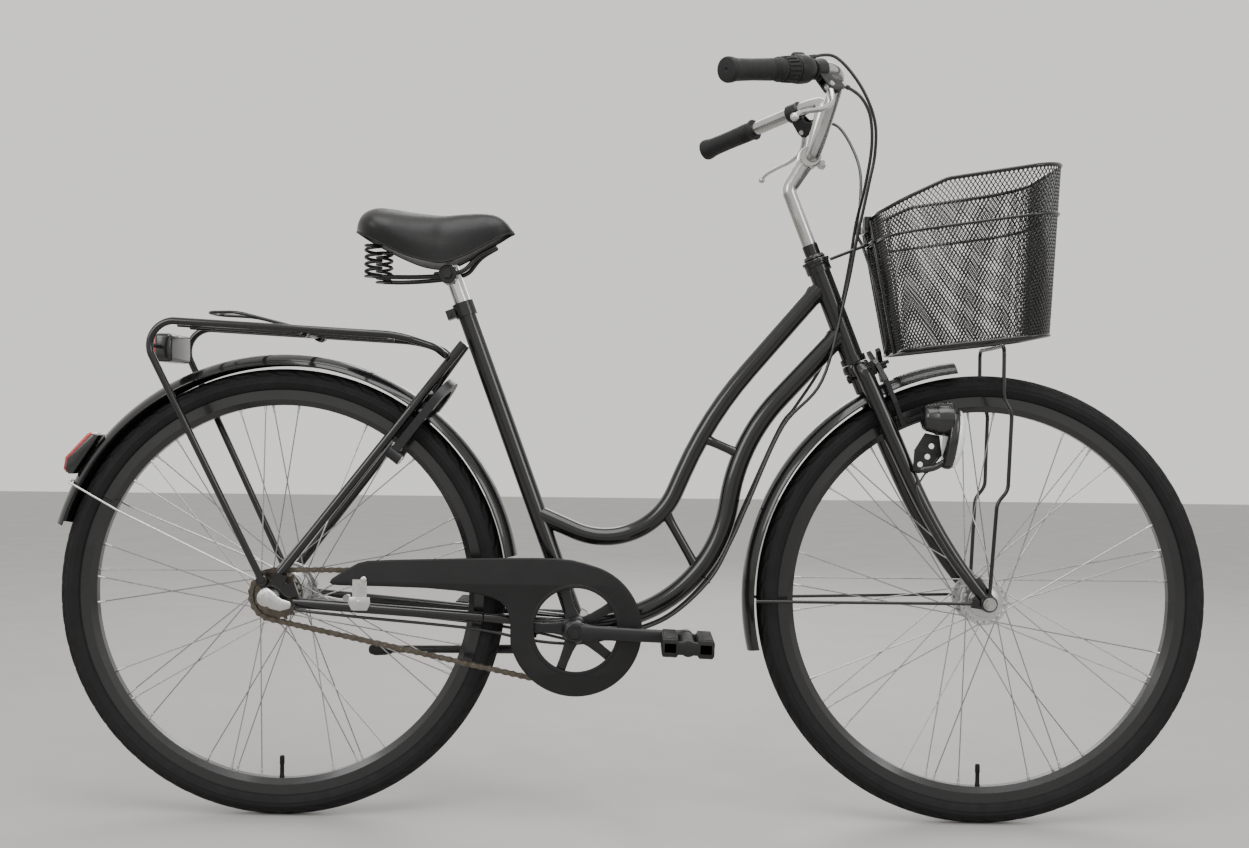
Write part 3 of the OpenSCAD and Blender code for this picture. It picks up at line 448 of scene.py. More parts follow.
def laced(hub, flange_r):
    """Spokes with a bent head in the flange, and the nipples."""
    place = axle(hub)
    spokes, nipples = Shape(), Shape()
    for hole, end in spoke_ends(flange_r):
        run = (end - hole).normalized()
        into = Vector((0, 0, math.copysign(1, hole.z) * (-1 if abs(hole.z) > LACING_Y else 1)))
        line = [hole + into * 3.4, hole + into * 1.0, hole + run * 0.8, hole + run * 3, end + run * 0.5]
        spokes.tube([place @ (p * MM) for p in line], 1.0 * MM, 8)
        spokes.tube([place @ (p * MM) for p in (hole + into * 3.2, hole + into * 4.4)], 1.7 * MM, 8)
        steps = ((-12.5, 1.3), (-12, 1.75), (-5, 1.75), (-4.6, 2.1), (-0.5, 2.2), (1.5, 2.2))
        nipples.tube([place @ ((end + run * d) * MM) for d, _ in steps], [r * MM for _, r in steps], 10)
    return spokes, nipples


def circle(cx, cy, r, steps=48):
    """A round outline, in mm."""
    return [(cx + r * math.cos(2 * math.pi * k / steps), cy + r * math.sin(2 * math.pi * k / steps))
            for k in range(steps)]


def holed_flange(radius, pitch_r, bore, count, hole):
    """Outline, bore and spoke holes of a hub flange, in mm."""
    spots = circle(0, 0, pitch_r, count)
    return [circle(0, 0, radius, 72), circle(0, 0, bore, 32)] + [circle(x, y, hole, 10) for x, y in spots]


tyre_rubber = surface("tyre_rubber", (0.007, 0.007, 0.0075), (0.013, 0.013, 0.0135), 0.66, 0.08, size=35,
                      bump=0.5, bump_size=900, gleam=0.18)
rim_black = surface("rim_black", (0.008, 0.008, 0.009), (0.014, 0.014, 0.015), 0.26, 0.05, size=16,
                    bump=0.08, bump_size=500, metal=0.3, coat=0.5, coat_rough=0.12)
spoke_steel = surface("spoke_steel", (0.26, 0.26, 0.26), (0.42, 0.42, 0.42), 0.3, 0.1, size=180, metal=1.0,
                      bump=0.1, bump_size=1500)
nipple_steel = surface("nipple_steel", (0.5, 0.5, 0.48), (0.62, 0.62, 0.6), 0.35, 0.1, size=300, metal=1.0)
hub_silver = surface("hub_silver", (0.44, 0.44, 0.43), (0.58, 0.58, 0.57), 0.34, 0.1, size=90, metal=1.0,
                     bump=0.15, bump_size=1200)

for side, hub, flange_r in (("front", FRONT, 32), ("rear", REAR, 33)):
    body = side + "_wheel"
    make(side + "_tyre_lugged", tyre(hub), body, tyre_rubber, [side + "_tyre"], crease=24)
    spokes, nipples = laced(hub, flange_r)
    make(side + "_spokes_laced", spokes, body, spoke_steel, [side + "_spokes"])
    make(side + "_nipples", nipples, body, nipple_steel)
    # Valve with its cap, at the bottom of the wheel
    valve = Shape()
    steps = ((RIM_IN + 2, 3.9), (RIM_IN - 3, 3.9), (RIM_IN - 4, 3.4), (RIM_IN - 20, 3.2), (RIM_IN - 21, 3.9),
             (RIM_IN - 33, 3.7), (RIM_IN - 34, 2.6))
    lean = Vector((0, 0, -1))
    valve.tube([hub + lean * r * MM for r, _ in steps], [w * MM for _, w in steps], 16)
    make(side + "_valve", valve, body, tyre_rubber)
finish_nodes(rim_black, "front_rim", "rear_rim")

front_half = [(-40, 8), (-39.6, 12.4), (-38, 13.4), (-34, 14), (-31.5, 17), (-30.5, 24), (-27, 25.6),
              (-22, 26)]
front_shell = [(-39.9, 5)] + front_half + [(-z, r) for z, r in front_half[::-1]] + [(39.9, 5)]
rear_shell = ((-31.8, 6), (-31.8, 30), (-30, 34), (-26, 34), (-22, 27), (-16, 24.6), (12, 24), (20, 26),
              (26, 34), (29, 34), (30.5, 28), (31, 18.9), (53.8, 18.9), (53.8, 6))
for side, hub, flange_r, profile in (("front", FRONT, 32, front_shell), ("rear", REAR, 33, rear_shell)):
    shell = Shape().turned(profile, axle(hub))
    for z in (-FLANGE_Y, FLANGE_Y):
        shell.plate(holed_flange(flange_r + 5, flange_r, 20, 18, 1.6), 2.8, 0.5,
                    axle(hub) @ Matrix.Translation((0, 0, z * MM)))
    make(side + "_hub_turned", shell, side + "_wheel", hub_silver, [side + "_hub"])


# ---------------------------------------------------------------------------
# Fenders and stays: rolled steel blades in the same black lacquer with a
# hemmed edge. The front one is held by black wires, the rear one by a thin
# bright wire from the dropouts.
# ---------------------------------------------------------------------------
FENDER_R, FENDER_HALF = 356.4, 26.6


def hem(hub, low, high):
    """The rolled edge on both sides of a fender, from one angle to the other."""
    run = [math.radians(low + (high - low) * k / 72) for k in range(73)]
    line = [hub + at(FENDER_R * math.cos(a), -FENDER_HALF, FENDER_R * math.sin(a)) for a in run]
    return Shape().tube(line, 1.3 * MM, 8).both_sides()


bright_wire = surface("bright_wire", (0.5, 0.5, 0.49), (0.66, 0.66, 0.65), 0.3, 0.1, size=200, metal=1.0)
axle_steel = surface("axle_steel", (0.36, 0.36, 0.35), (0.5, 0.5, 0.48), 0.36, 0.12, size=220, metal=1.0,
                     bump=0.2, bump_size=900)
finish_nodes(black_paint, "front_fender", "rear_fender", "front_fender_stays", "front_brake_bridge")
finish_nodes(bright_wire, "rear_fender_stay")
finish_nodes(axle_steel, "front_axle", "rear_axle")
make("front_fender_hem", hem(FRONT, 97, 193), "steering", black_paint)
make("rear_fender_hem", hem(REAR, 9.5, 163.3), "frame", black_paint)


# ---------------------------------------------------------------------------
# Chain drive: a roller chain of pressed side plates, dark with old oil, runs
# from the toothed ring to the sprocket on the hub gear. A matt plastic guard
# covers its upper run and the ring.
# ---------------------------------------------------------------------------
PITCH = 12.7
RING_TEETH, COG_TEETH = 44, 19
CHAIN_Y = -46
ROLLER_SEAT, TOOTH_TIP = 4.1, 3.4
ring_r = PITCH / (2 * math.sin(math.pi / RING_TEETH))
cog_r = PITCH / (2 * math.sin(math.pi / COG_TEETH))
span = (BOTTOM - REAR).length / MM
span_a = math.atan2(BOTTOM.z - REAR.z, BOTTOM.x - REAR.x)
wrap = math.acos((ring_r - cog_r) / span)


def chain_pins():
    """Pin centres round the loop, one pitch apart, in mm."""
    meet = math.pi - wrap
    loop = []
    for k in range(81):
        a = span_a + meet - 2 * meet * k / 80
        loop.append(Vector((BOTTOM.x / MM + ring_r * math.cos(a), BOTTOM.z / MM + ring_r * math.sin(a))))
    for k in range(81):
        a = span_a - meet - (2 * math.pi - 2 * meet) * k / 80
        loop.append(Vector((REAR.x / MM + cog_r * math.cos(a), REAR.z / MM + cog_r * math.sin(a))))
    loop.append(loop[0])
    far = [0.0]
    for a, b in zip(loop, loop[1:]):
        far.append(far[-1] + (b - a).length)
    count = 2 * round(far[-1] / PITCH / 2)
    pins, k = [], 0
    for i in range(count):
        d = i * far[-1] / count
        while far[k + 1] < d:
            k += 1
        pins.append(loop[k].lerp(loop[k + 1], (d - far[k]) / (far[k + 1] - far[k])))
    return pins


def toothed(count, pitch_r, first):
    """Outline of a toothed wheel whose first valley lies at the angle first."""
    outline = []
    for i in range(count):
        a = first + 2 * math.pi * i / count
        c = Vector((pitch_r * math.cos(a), pitch_r * math.sin(a)))
        for k in (-60, -30, 0, 30, 60):
            b = a + math.pi - math.radians(k)
            outline.append((c.x + ROLLER_SEAT * math.cos(b), c.y + ROLLER_SEAT * math.sin(b)))
        half = a + math.pi / count
        for off in (-0.0075, 0.0075):
            tip = half + off * 44 / count
            top = pitch_r + TOOTH_TIP
            outline.append((top * math.cos(tip), top * math.sin(tip)))
    return outline


pins = chain_pins()
links = Shape()
for i, pin in enumerate(pins):
    nxt = pins[(i + 1) % len(pins)]
    along = (nxt - pin).normalized()
    across = Vector((-along.y, along.x))
    outline = []
    for centre, back in ((pin, math.pi / 2), (nxt, -math.pi / 2)):
        for k in range(7):
            a = back + math.pi * k / 6
            outline.append(centre + 4.3 * (math.cos(a) * along + math.sin(a) * across))
        waist = (pin + nxt) / 2 + across * (-2.9 if centre is pin else 2.9)
        outline.append(waist)
    for y in ((-3.1, -2.1), (2.1, 3.1)) if i % 2 else ((-4.1, -3.2), (3.2, 4.1)):
        links.rings([[at(p.x, CHAIN_Y + d, p.y) for p in outline] for d in y])
    pin_at = lambda d: at(pin.x, CHAIN_Y + d, pin.y)
    links.tube([pin_at(-2.2), pin_at(2.2)], 3.9 * MM, 14)
    links.tube([pin_at(-4.8), pin_at(-4.4), pin_at(4.4), pin_at(4.8)],
               [1.1 * MM, 1.7 * MM, 1.7 * MM, 1.1 * MM], 10)
oiled_chain = surface("oiled_chain", (0.045, 0.036, 0.028), (0.16, 0.14, 0.115), 0.42, 0.14, size=130,
    metal=0.85, bump=0.3, bump_size=700)
make("chain_links", links, "frame", oiled_chain, ["chain"], crease=30)


def pin_angle(centre, wanted):
    """The angle of the chain pin nearest the wanted direction from the centre."""
    near = [p for p in pins if abs((p - centre).length - 60) < 40]
    best = max(near, key=lambda p: (p - centre).normalized().dot(wanted))
    return math.atan2(best.y - centre.y, best.x - centre.x)


rear_2d, ring_2d = Vector((REAR.x, REAR.z)) / MM, Vector((BOTTOM.x, BOTTOM.z)) / MM
sprocket = Shape()
at_chain = Matrix.Translation((0, 0, -CHAIN_Y * MM))
sprocket.plate([toothed(COG_TEETH, cog_r, pin_angle(rear_2d, Vector((-1, 0)))), circle(0, 0, 19.5)], 2.0, 0.3,
               axle(REAR) @ at_chain)
sprocket.turned(((39, 19.2), (39, 25.5), (40, 26), (44.6, 26), (47.2, 24), (48.6, 21.5), (48.6, 19.2)),
    axle(REAR), 96)
sprocket.turned(((36.5, 19.2), (36.5, 31), (37, 31.8), (38, 31.8), (38.8, 29), (39, 19.2)), axle(REAR), 96)
make("sprocket_toothed", sprocket, "sprocket", oiled_chain, ["rear_sprocket"])


# Guard: an injection-moulded shell, open towards the wheel
GUARD_ARC = range(76, -170, -4)


def guard_outline():
    """The guard's edge in side view, clockwise, in mm."""
    arc = [(BOTTOM.x / MM + 102 * math.cos(math.radians(a)), BOTTOM.z / MM + 102 * math.sin(math.radians(a)))
           for a in GUARD_ARC]
    under = [(-180.4, 312), (-182.6, 325), (-187.5, 336), (-196, 345), (-210, 351.5), (-232, 356.5),
        (-264, 361), (-309, 364.5), (-380, 366.5), (-440, 367)]
    tail = [(-453, 368), (-458, 371.5), (-455, 377), (-436, 390), (-414, 402), (-400, 405.5)]
    top = [(-360, 407.5), (-250, 411), (-150, 412.8), (-112, 412.3), (-86, 410), (-68, 405.6)]
    return arc + under + tail + top


def inset(outline, d):
    """The outline moved in by d; it runs clockwise."""
    n = len(outline)
    moved = []
    for i in range(n):
        a, b = Vector(outline[i - 1]), Vector(outline[(i + 1) % n])
        t = (b - a).normalized()
        moved.append((outline[i][0] + d * t.y, outline[i][1] - d * t.x))
    return moved


guard = Shape()
edge = guard_outline()
hole = circle(BOTTOM.x / MM, BOTTOM.z / MM, 64, 72)
guard.plate([edge, hole], 6, 2.9, TO_SIDE @ Matrix.Translation((0, 0, 58 * MM)))
guard.plate([circle(BOTTOM.x / MM, BOTTOM.z / MM, r, 72) for r in (70, 64.2)], 3, 1.2,
            TO_SIDE @ Matrix.Translation((0, 0, 60.2 * MM)))
skin = inset(edge, 2.6)
inner = inset(edge, 4.8)
# The skirt leaves out the lower edge, from below the ring to the tail
closed_from = len(GUARD_ARC) - 12
order = list(range(closed_from + 22, len(edge))) + list(range(closed_from + 1))
guard.rings([[at(*p) for p in ((skin[i][0], -57, skin[i][1]), (skin[i][0], -38.5, skin[i][1]),
    (inner[i][0], -38.5, inner[i][1]), (inner[i][0], -57, inner[i][1]))] for i in order])
matt_plastic = surface("matt_plastic", (0.009, 0.009, 0.0095), (0.014, 0.014, 0.0145), 0.44, 0.06, size=40,
                       bump=0.3, bump_size=1600, gleam=0.25)
make("chain_guard_shell", guard, "frame", matt_plastic, ["chain_guard"], crease=44)

# Clip that holds the guard's tail to the chain stay: a folded bright strap with two rivets
strap = Shape()
fold = ((-62.2, 377), (-62.4, 366), (-62.6, 350), (-62, 340), (-59, 331), (-52, 325), (-45, 326))
strap.tube([at(-411, y, z) for y, z in fold], 11 * MM, 12, wide=(1, 0, 0), flat=0.1)
strap.tube([at(-411, y, z) for y, z in ((-62.6, 350), (-64.5, 341), (-62.6, 330))],
           [15.5 * MM, 17 * MM, 12 * MM], 12, wide=(1, 0, 0), flat=0.12)
strap.turned(((60.8, 5.5), (62.4, 5.4), (64.2, 4.2), (65, 2)), move(-405, 0, 377) @ TO_SIDE, 24)
strap.turned(((63, 3.4), (66, 3.2), (66.6, 2)), move(-411, 0, 343) @ TO_SIDE, 24)
cast_silver = surface("cast_silver", (0.5, 0.5, 0.49), (0.68, 0.68, 0.67), 0.3, 0.1, size=60, metal=1.0,
                      bump=0.25, bump_size=900)
make("guard_strap", strap, "frame", cast_silver, ["chain_guard_clip"])

# Gear box on the axle end: a rounded silver cap over a lever, and the drum of the hub brake
cap = Shape()
cap.tube(points_at((-549, -76.4, 350), (-549, -84, 350), (-548, -86.6, 350)), [14 * MM, 13 * MM, 8 * MM], 32)
lever = points_at((-552, -81, 356), (-545, -82, 350), (-536, -82, 343), (-526, -81.5, 339), (-515, -81, 339.5))
cap.tube(lever, [11 * MM, 12.5 * MM, 11.5 * MM, 9.5 * MM, 6 * MM], 24, flat=0.45, wide=(0, 0, 1), domed=True)
make("gear_box_cap", cap, "frame", cast_silver, ["gear_clickbox"])
drum = Shape()
drum.turned(((-57, 8), (-57, 30), (-55, 38), (-52, 41), (-43, 42), (-41, 40), (-41, 8)), axle(REAR), 72)
arm = points_at((-520, 52, 338), (-500, 50, 332), (-470, 47, 327), (-448, 46, 326))
drum.tube(arm, [9 * MM, 8 * MM, 7 * MM, 7 * MM], 16, flat=0.35, wide=(0, 0, 1))
drum.tube([at(-452, 36, 334), at(-452, 50, 334)], 6.5 * MM, 20)
make("hub_brake_drum", drum, "frame", hub_silver, ["rear_brake"])

# ---------------------------------------------------------------------------
# Cranks and pedals: forged black arms, tapered towards the pedal, a
# five-armed spider riveted to the ring, and moulded rubber-faced pedals.
# ---------------------------------------------------------------------------
CRANK_LEAN = 2.4
CRANK = Matrix.Translation(BOTTOM) @ turn(CRANK_LEAN, "Y")
OPPOSITE = Matrix.Diagonal((-1, -1, 1, 1))
CRANK_LEN = 168
SPIDER = [math.radians(36 + 72 * i) for i in range(5)]


def crank_arm():
    """The right arm with its two bosses, along X from the crank axis."""
    arm = Shape()
    stations = ((0, 13.5), (10, 13.2), (24, 11.4), (60, 10.6), (110, 10), (146, 10), (160, 11.6), (168, 12))
    arm.tube([at(x, -74.6 - 1.2 * math.sin(x / 54), 0) for x, _ in stations],
        [r * MM for _, r in stations], 24, flat=0.5, wide=(0, 0, 1), domed=True)
    arm.turned(((63.5, 8.6), (63.5, 16.4), (65, 17), (78, 16.2), (80.6, 13.4), (81, 11.6), (80, 10.8),
        (80, 3)), TO_SIDE)
    arm.turned(((67.6, 6.3), (67.6, 11.6), (69, 12.4), (80, 12.2), (81.2, 11), (81.2, 6.3)),
               move(CRANK_LEN, 0, 0) @ TO_SIDE)
    return arm


black_forging = surface("black_forging", (0.012, 0.012, 0.013), (0.02, 0.02, 0.021), 0.36, 0.08, size=50,
                        metal=0.4, bump=0.25, bump_size=1100)
ring = Shape()
ring_place = TO_SIDE @ at_chain
first = pin_angle(ring_2d, Vector((1, 0))) + math.radians(CRANK_LEAN)
slots = [circle(74 * math.cos(a), 74 * math.sin(a), 2.4, 10)
         for a in (math.pi * k / 15 + 0.1 for k in range(30))]
ring.plate([toothed(RING_TEETH, ring_r, first), circle(0, 0, 68, 72)] + slots, 2.0, 0.3, ring_place)
star = []
for base in SPIDER:
    for off, r in ((-36, 22), (-25, 24), (-14, 34), (-8, 52), (-6.2, 70), (-4, 74.5), (4, 74.5),
            (6.2, 70), (8, 52), (14, 34), (25, 24)):
        star.append((r * math.cos(base + math.radians(off)), r * math.sin(base + math.radians(off))))
ring.plate([star, circle(0, 0, 9, 32)], 5, 1.4, TO_SIDE @ Matrix.Translation((0, 0, 52.4 * MM)))
ring.turned(((49, 8.6), (49, 21), (51, 22), (60, 20.4), (65, 17), (65, 8.6)), TO_SIDE)
make("chainring_spider", ring.placed(CRANK), "crankset", black_forging)
bolts = Shape()
for a in SPIDER:
    here = move(70.6 * math.cos(a), 0, 70.6 * math.sin(a)) @ TO_SIDE
    bolts.turned(((44, 3.6), (54.6, 4.2), (55.6, 4), (56.2, 3), (55.4, 2.2), (55.4, 0.6)), here, 20)
make("spider_bolts", bolts.placed(CRANK), "crankset", axle_steel)
make("crank_arm_right", crank_arm().placed(CRANK), "crankset", black_forging, ["crank_right"])
left = crank_arm().placed(OPPOSITE)
left.tube([at(0, -63, 0), at(0, 63, 0)], 8.4 * MM, 24)
make("crank_arm_left", left.placed(CRANK), "crankset", black_forging, ["crank_left"])
caps = Shape().turned(((79.6, 11), (80.6, 11), (81.4, 10), (81.4, 4), (80.8, 3.4), (80.8, 0.4)), TO_SIDE, 32)
caps = caps.placed(CRANK).add(*vars(caps.placed(CRANK @ OPPOSITE)).values())
make("crank_dust_caps", caps, "crankset", matt_plastic)


def pedal():
    """Right pedal about the crank's own axis, before it is carried to the arm's end."""
    body = Shape()
    body.turned(((81.6, 6), (81.6, 9), (89, 9), (89.5, 11.6), (178, 11.6), (179, 10), (179, 2)), TO_SIDE, 32)
    for x in (-38, 14):
        body.block((x, -178.6, -13), (x + 24, -89.6, 13), 3.5)
        for k in range(8):
            y = -173 + 11 * k
            for z in (-14, 12.4):
                body.block((x + 2, y, z), (x + 22, y + 6.4, z + 1.6), 0.5, steps=1)
        for z in (-8.5, 2.5):
            body.block((x if x < 0 else x + 23, -170, z), (x + 1 if x < 0 else x + 24.6, -98, z + 6),
                0.4, steps=1)
    for y in (-178.6, -102):
        body.block((-37, y, -9.5), (37, y + 11.6, 9.5), 3)
    return body


pedal_rubber = surface("pedal_rubber", (0.010, 0.010, 0.010), (0.016, 0.016, 0.016), 0.55, 0.1, size=70,
                       bump=0.5, bump_size=1400, gleam=0.25)
carry = move(CRANK_LEN, 0, 0)
make("pedal_right_block", pedal().placed(CRANK @ carry), "pedal_r", pedal_rubber,
    ["pedal_right"])
make("pedal_left_block", pedal().placed(CRANK @ move(-CRANK_LEN, 0, 0) @ MIRROR), "pedal_l",
     pedal_rubber, ["pedal_left"])

# Kickstand: a cast leg with a rubber foot, folded up along the chain stay
stand = Shape()
stand.tube(points_at((-170, 44, 256), (-190, 45, 255.2), (-260, 48, 253.6), (-396, 56, 251)),
           [8 * MM, 7.4 * MM, 6.4 * MM, 6 * MM], 20, domed=True)
stand.turned(((-50, 3), (-50, 10.4), (-49, 11), (-39, 11), (-38.2, 10.2), (-38.2, 3)),
             move(-170, 0, 256) @ TO_SIDE, 32)
make("kickstand_cast_leg", stand, "stand", black_forging, ["kickstand_leg"])
foot = Shape().tube(points_at((-384, 55, 251), (-392, 55.5, 251), (-408, 56.6, 250.2), (-414, 57, 250)),
                    [8 * MM, 9.6 * MM, 9.8 * MM, 8 * MM], 24, domed=True)
make("kickstand_foot", foot, "stand", pedal_rubber)

# ---------------------------------------------------------------------------
# Stem and handlebar: a forged and polished aluminium stem with a sharp kink
# clamps a swept-back bar of satin aluminium tube.
# ---------------------------------------------------------------------------
def rounded(points, reach):
    """The points joined by straights, each corner eased off over reach mm."""
    points = [Vector(p) for p in points]
    path = [points[0]]
    for before, corner, after in zip(points, points[1:], points[2:]):
        cut = min(reach, (before - corner).length * 0.48, (after - corner).length * 0.48)
        a = corner + (before - corner).normalized() * cut
        b = corner + (after - corner).normalized() * cut
        for k in range(9):
            t = k / 8
            path.append(a * (1 - t) ** 2 + corner * 2 * t * (1 - t) + b * t ** 2)
    return [p * MM for p in path + [points[-1]]]


satin_bar = surface("satin_bar", (0.40, 0.40, 0.385), (0.55, 0.55, 0.53), 0.24, 0.07, size=26, metal=1.0,
                    bump=0.12, bump_size=700, bump_stretch=(1, 0.1, 1))
BAR_R = 11.1
kink = [Vector((p.x, 0, p.z)) for p in bends((0, 40), 90, ((233.2, 16, -54), (51.6, 0, 0)))]
up = sum((a - b).length for a, b in zip(kink, kink[1:]))
radii, gone = [], 0.0
for i, p in enumerate(kink):
    gone += (p - kink[i - 1]).length if i else 0
    radii.append((BAR_R + 2.2 * max(0, (gone / up - 0.78) / 0.22)) * MM)
stem = Shape().tube(kink, radii, 32)
stem_head = move(48.3, 0, 316.4)
stem.turned(((-17, 11.3), (-17, 15.6), (-15.4, 17.2), (-8, 17.8), (8, 17.8), (15.4, 17.2), (17, 15.6),
    (17, 11.3)), stem_head @ TO_SIDE)
ears = stem_head @ turn(140, "Y")
stem.block((-5.5, -8, 12), (5.5, -1.6, 29), 2.4, ears)
stem.block((-5.5, 1.6, 12), (5.5, 8, 29), 2.4, ears)
make("stem_forged", stem.placed(STEER), "steering", satin_bar, ["stem"])
bolt = Shape().turned(((-12, 3.4), (-12, 5), (-8.2, 5.4), (-8.2, 2.5), (8.2, 2.5), (8.2, 5.2), (12, 5.2),
    (12.4, 3)), ears @ move(0, 0, 22) @ TO_SIDE, 20)
make("stem_bolt", bolt.placed(STEER), "steering", axle_steel)

BAR_BEND = Vector((292, -115, 1149))
BAR_END = Vector((127, -271, 1105.5))
grip_dir = (BAR_END - BAR_BEND).normalized()
bar_length = (BAR_END - BAR_BEND).length
reach_dir = Vector((0.479, -0.273, -0.834))
reach_dir = (reach_dir - grip_dir * reach_dir.dot(grip_dir)).normalized()
lift_dir = grip_dir.cross(reach_dir)


def on_bar(s):
    """Local X runs out along the right grip, Y reaches towards the lever; s is from the bend."""
    m = Matrix((grip_dir, reach_dir, lift_dir)).transposed().to_4x4()
    m.translation = (BAR_BEND + s * grip_dir) * MM
    return m


bar_line = [(279.9, 0, 1040), (279.9, -20, 1040), (287, -40, 1061), (303, -64, 1118), (309, -86, 1147),
            tuple(BAR_BEND), tuple(BAR_BEND + grip_dir * (bar_length - 4))]
half = rounded(bar_line, 22)
whole = [Vector((p.x, -p.y, p.z)) for p in half[:0:-1]] + half
make("handlebar_bent", Shape().tube(whole, BAR_R * MM, 28), "steering", satin_bar, ["handlebar"])

# ---------------------------------------------------------------------------
# Grips, shifter and brake levers: black rubber sleeves, a ribbed twist collar
# beside the right one, and polished cast blades in black brackets.
# ---------------------------------------------------------------------------
OUT = turn(90, "Y")  # carries a turned piece's Z to the bar's local X
rubber = surface("grip_rubber", (0.010, 0.010, 0.0105), (0.016, 0.016, 0.0165), 0.55, 0.08, size=60,
                 bump=0.6, bump_size=1100, gleam=0.25)


def ribbed(profile, place, ribs, steps=144):
    """A turned piece with ribs along it: profile is (along, radius, rib height) in mm."""
    return [
        [place @ (Vector((rr * math.cos(a), rr * math.sin(a), z)) * MM)
         for a in (2 * math.pi * k / steps for k in range(steps))
         for rr in (r + h * (1 if math.cos(ribs * a) > -0.2 else 0),)]
        for z, r, h in profile
    ]


grip_line = [(0, 11.3), (0, 16.6), (1, 17.6), (3.4, 17.8), (5, 16.4), (9, 15.7)]
for k in range(5):
    grip_line += [(11 + 3 * k, 15.7), (11.6 + 3 * k, 15.1), (12.6 + 3 * k, 15.1), (13.2 + 3 * k, 15.7)]
grip_line += [(60, 15.1), (90, 15.5), (98, 16.2), (105, 17.6), (110.6, 17.9), (113.4, 17), (114.2, 15),
    (114.2, 3.4), (113.2, 2.6), (112.6, 0.4)]
grip = Shape().turned(grip_line, on_bar(117) @ OUT, 56)
make("grips_moulded", grip.both_sides(), "steering", rubber, ["grips"])

collar = Shape()
collar.rings(ribbed(((0, 11.3, 0), (0, 18.4, 0), (1.2, 19.2, 0), (4, 19.2, 0), (5, 17.8, 0), (5.4, 17.8, 1.6),
                     (14, 17.4, 1.8), (24, 16.8, 1.8), (26.6, 16.4, 1.2), (27, 16.2, 0), (29.2, 15.6, 0),
                     (29.4, 11.3, 0)), on_bar(86.5) @ OUT, 18))
make("twist_collar", collar, "twist", rubber, ["twist_shifter"])
housing = Shape()
housing.turned(((0, 11.3), (0, 16.8), (1.4, 18.6), (6, 20.4), (14, 21), (22, 21), (29, 20.2), (31.6, 19),
    (31.8, 11.3)), on_bar(54) @ OUT, 56)
housing.block((1, -24, -13), (27, -6, 13), 5, on_bar(54), 3)
nose = [(2, -19, -2), (-6, -21.4, -3.4), (-13, -22, -4)]
housing.tube([on_bar(54) @ at(*p) for p in nose], [7 * MM, 5.2 * MM, 4.2 * MM], 20)
make("shifter_barrel", housing, "steering", matt_plastic, ["shifter_housing"])

bracket = Shape()
bracket.turned(((0, 11.3), (0, 14), (1.5, 15.4), (22, 15.4), (23.6, 14), (23.6, 11.3)), on_bar(20) @ OUT, 40)
for z in (-6.9, 4.4):
    bracket.plate([[(1, 10), (22, 10), (20.5, 34), (17, 42), (10, 45.4), (-2, 42), (-16, 40), (-16, 26),
        (-4, 22)], circle(12, 34, 2.5, 20)], 2.6, 1.0, on_bar(20) @ move(0, 0, z + 1.3))
bracket.block((-15, 25.4, -6.2), (-1.4, 40, 6.2), 2.4, on_bar(20))
bracket.block((1.5, 11, -6.6), (22, 21.6, 6.6), 2.6, on_bar(20))
make("lever_bracket_cast", bracket.both_sides(), "steering", black_forging, ["lever_brackets"])
adjuster = Shape()
adjuster.turned(((-14, 2.6), (-14, 4.6), (-18, 4.7), (-19, 5.4), (-24, 5.4), (-25, 4), (-27.5, 3.4),
    (-27.5, 1)), on_bar(20) @ move(0, 32, 0) @ OUT, 20)
adjuster.turned(((-9.4, 1), (-9.4, 4), (-7.4, 4.6), (7.4, 4.6), (9.4, 4), (9.4, 1)),
                on_bar(20) @ move(12, 34, 0), 20)
make("lever_adjusters", adjuster.both_sides(), "steering", cast_silver)

blade_line = rounded([(12, 34, 0), (19, 50, 0), (33, 66, 0), (62, 75, 0), (92, 76.5, 0), (118, 79.5, 0),
                      (130, 85, 0)], 12)
steps = len(blade_line)
widths = [(6.6 - 2.4 * min(1, i / steps * 1.5)) * MM for i in range(steps)]
blade = Shape().tube(blade_line, widths, 20, wide=(0, 0, 1), flat=0.72, domed=True)
blade.turned(((-4, 2.6), (-4, 6.6), (-3, 7.2), (3, 7.2), (4, 6.6), (4, 2.6)), move(12, 34, 0), 28)
tip = [(a, 6.0 * math.sqrt(max(0.02, 1 - (a / 6) ** 2))) for a in (-5.9, -5, -3.5, -1.5, 0, 1.5, 3.5, 5, 5.9)]
blade.turned(tip, move(131.5, 86, 0) @ turn(90, "Y"), 20)
blade = blade.placed(on_bar(20))
make("lever_blade_right", blade, "lever_r", cast_silver, ["brake_lever_right"])
make("lever_blade_left", blade.placed(MIRROR), "lever_l", cast_silver, ["brake_lever_left"])


# ---------------------------------------------------------------------------
# Cables: steel wire in black plastic sleeves. Those to the rear run under the
# down tube and are drawn in one fixed shape. They are clamped at both
# ends.
# ---------------------------------------------------------------------------
GEAR_ROUTE = (
    (258, -142, 1159), (299, -113, 1168), (338, -98, 1132), (364, -80, 1084), (368, -68, 1036),
    (360, -58, 985), (346, -38, 905), (332, -24, 822), (298, -19, 690), (238, -19, 618), (186, -19, 500),
    (160, -19, 440), (125, -19, 376), (60, -19, 317), (-20, -19, 288), (-80, -18, 276), (-150, -24, 281),
    (-240, -30, 299), (-420, -48, 318), (-500, -70, 330), (-508, -81.5, 338),
)
BRAKE_ROUTE = (
    (315, -121, 1122), (338, -116, 1107), (355, -98, 1082), (361, -76, 1040), (357, -42, 985),
    (352, 6, 938), (345, 24, 875), (331, 29, 800), (306, 26, 720), (262, 21, 650), (236, 19, 614),
    (184, 19, 498), (158, 19, 438), (123, 19, 374), (60, 19, 315), (-20, 19, 286), (-80, 18, 275),
    (-150, 40, 284), (-230, 42, 296), (-330, 32, 308), (-420, 38, 316), (-448, 43, 322),
)
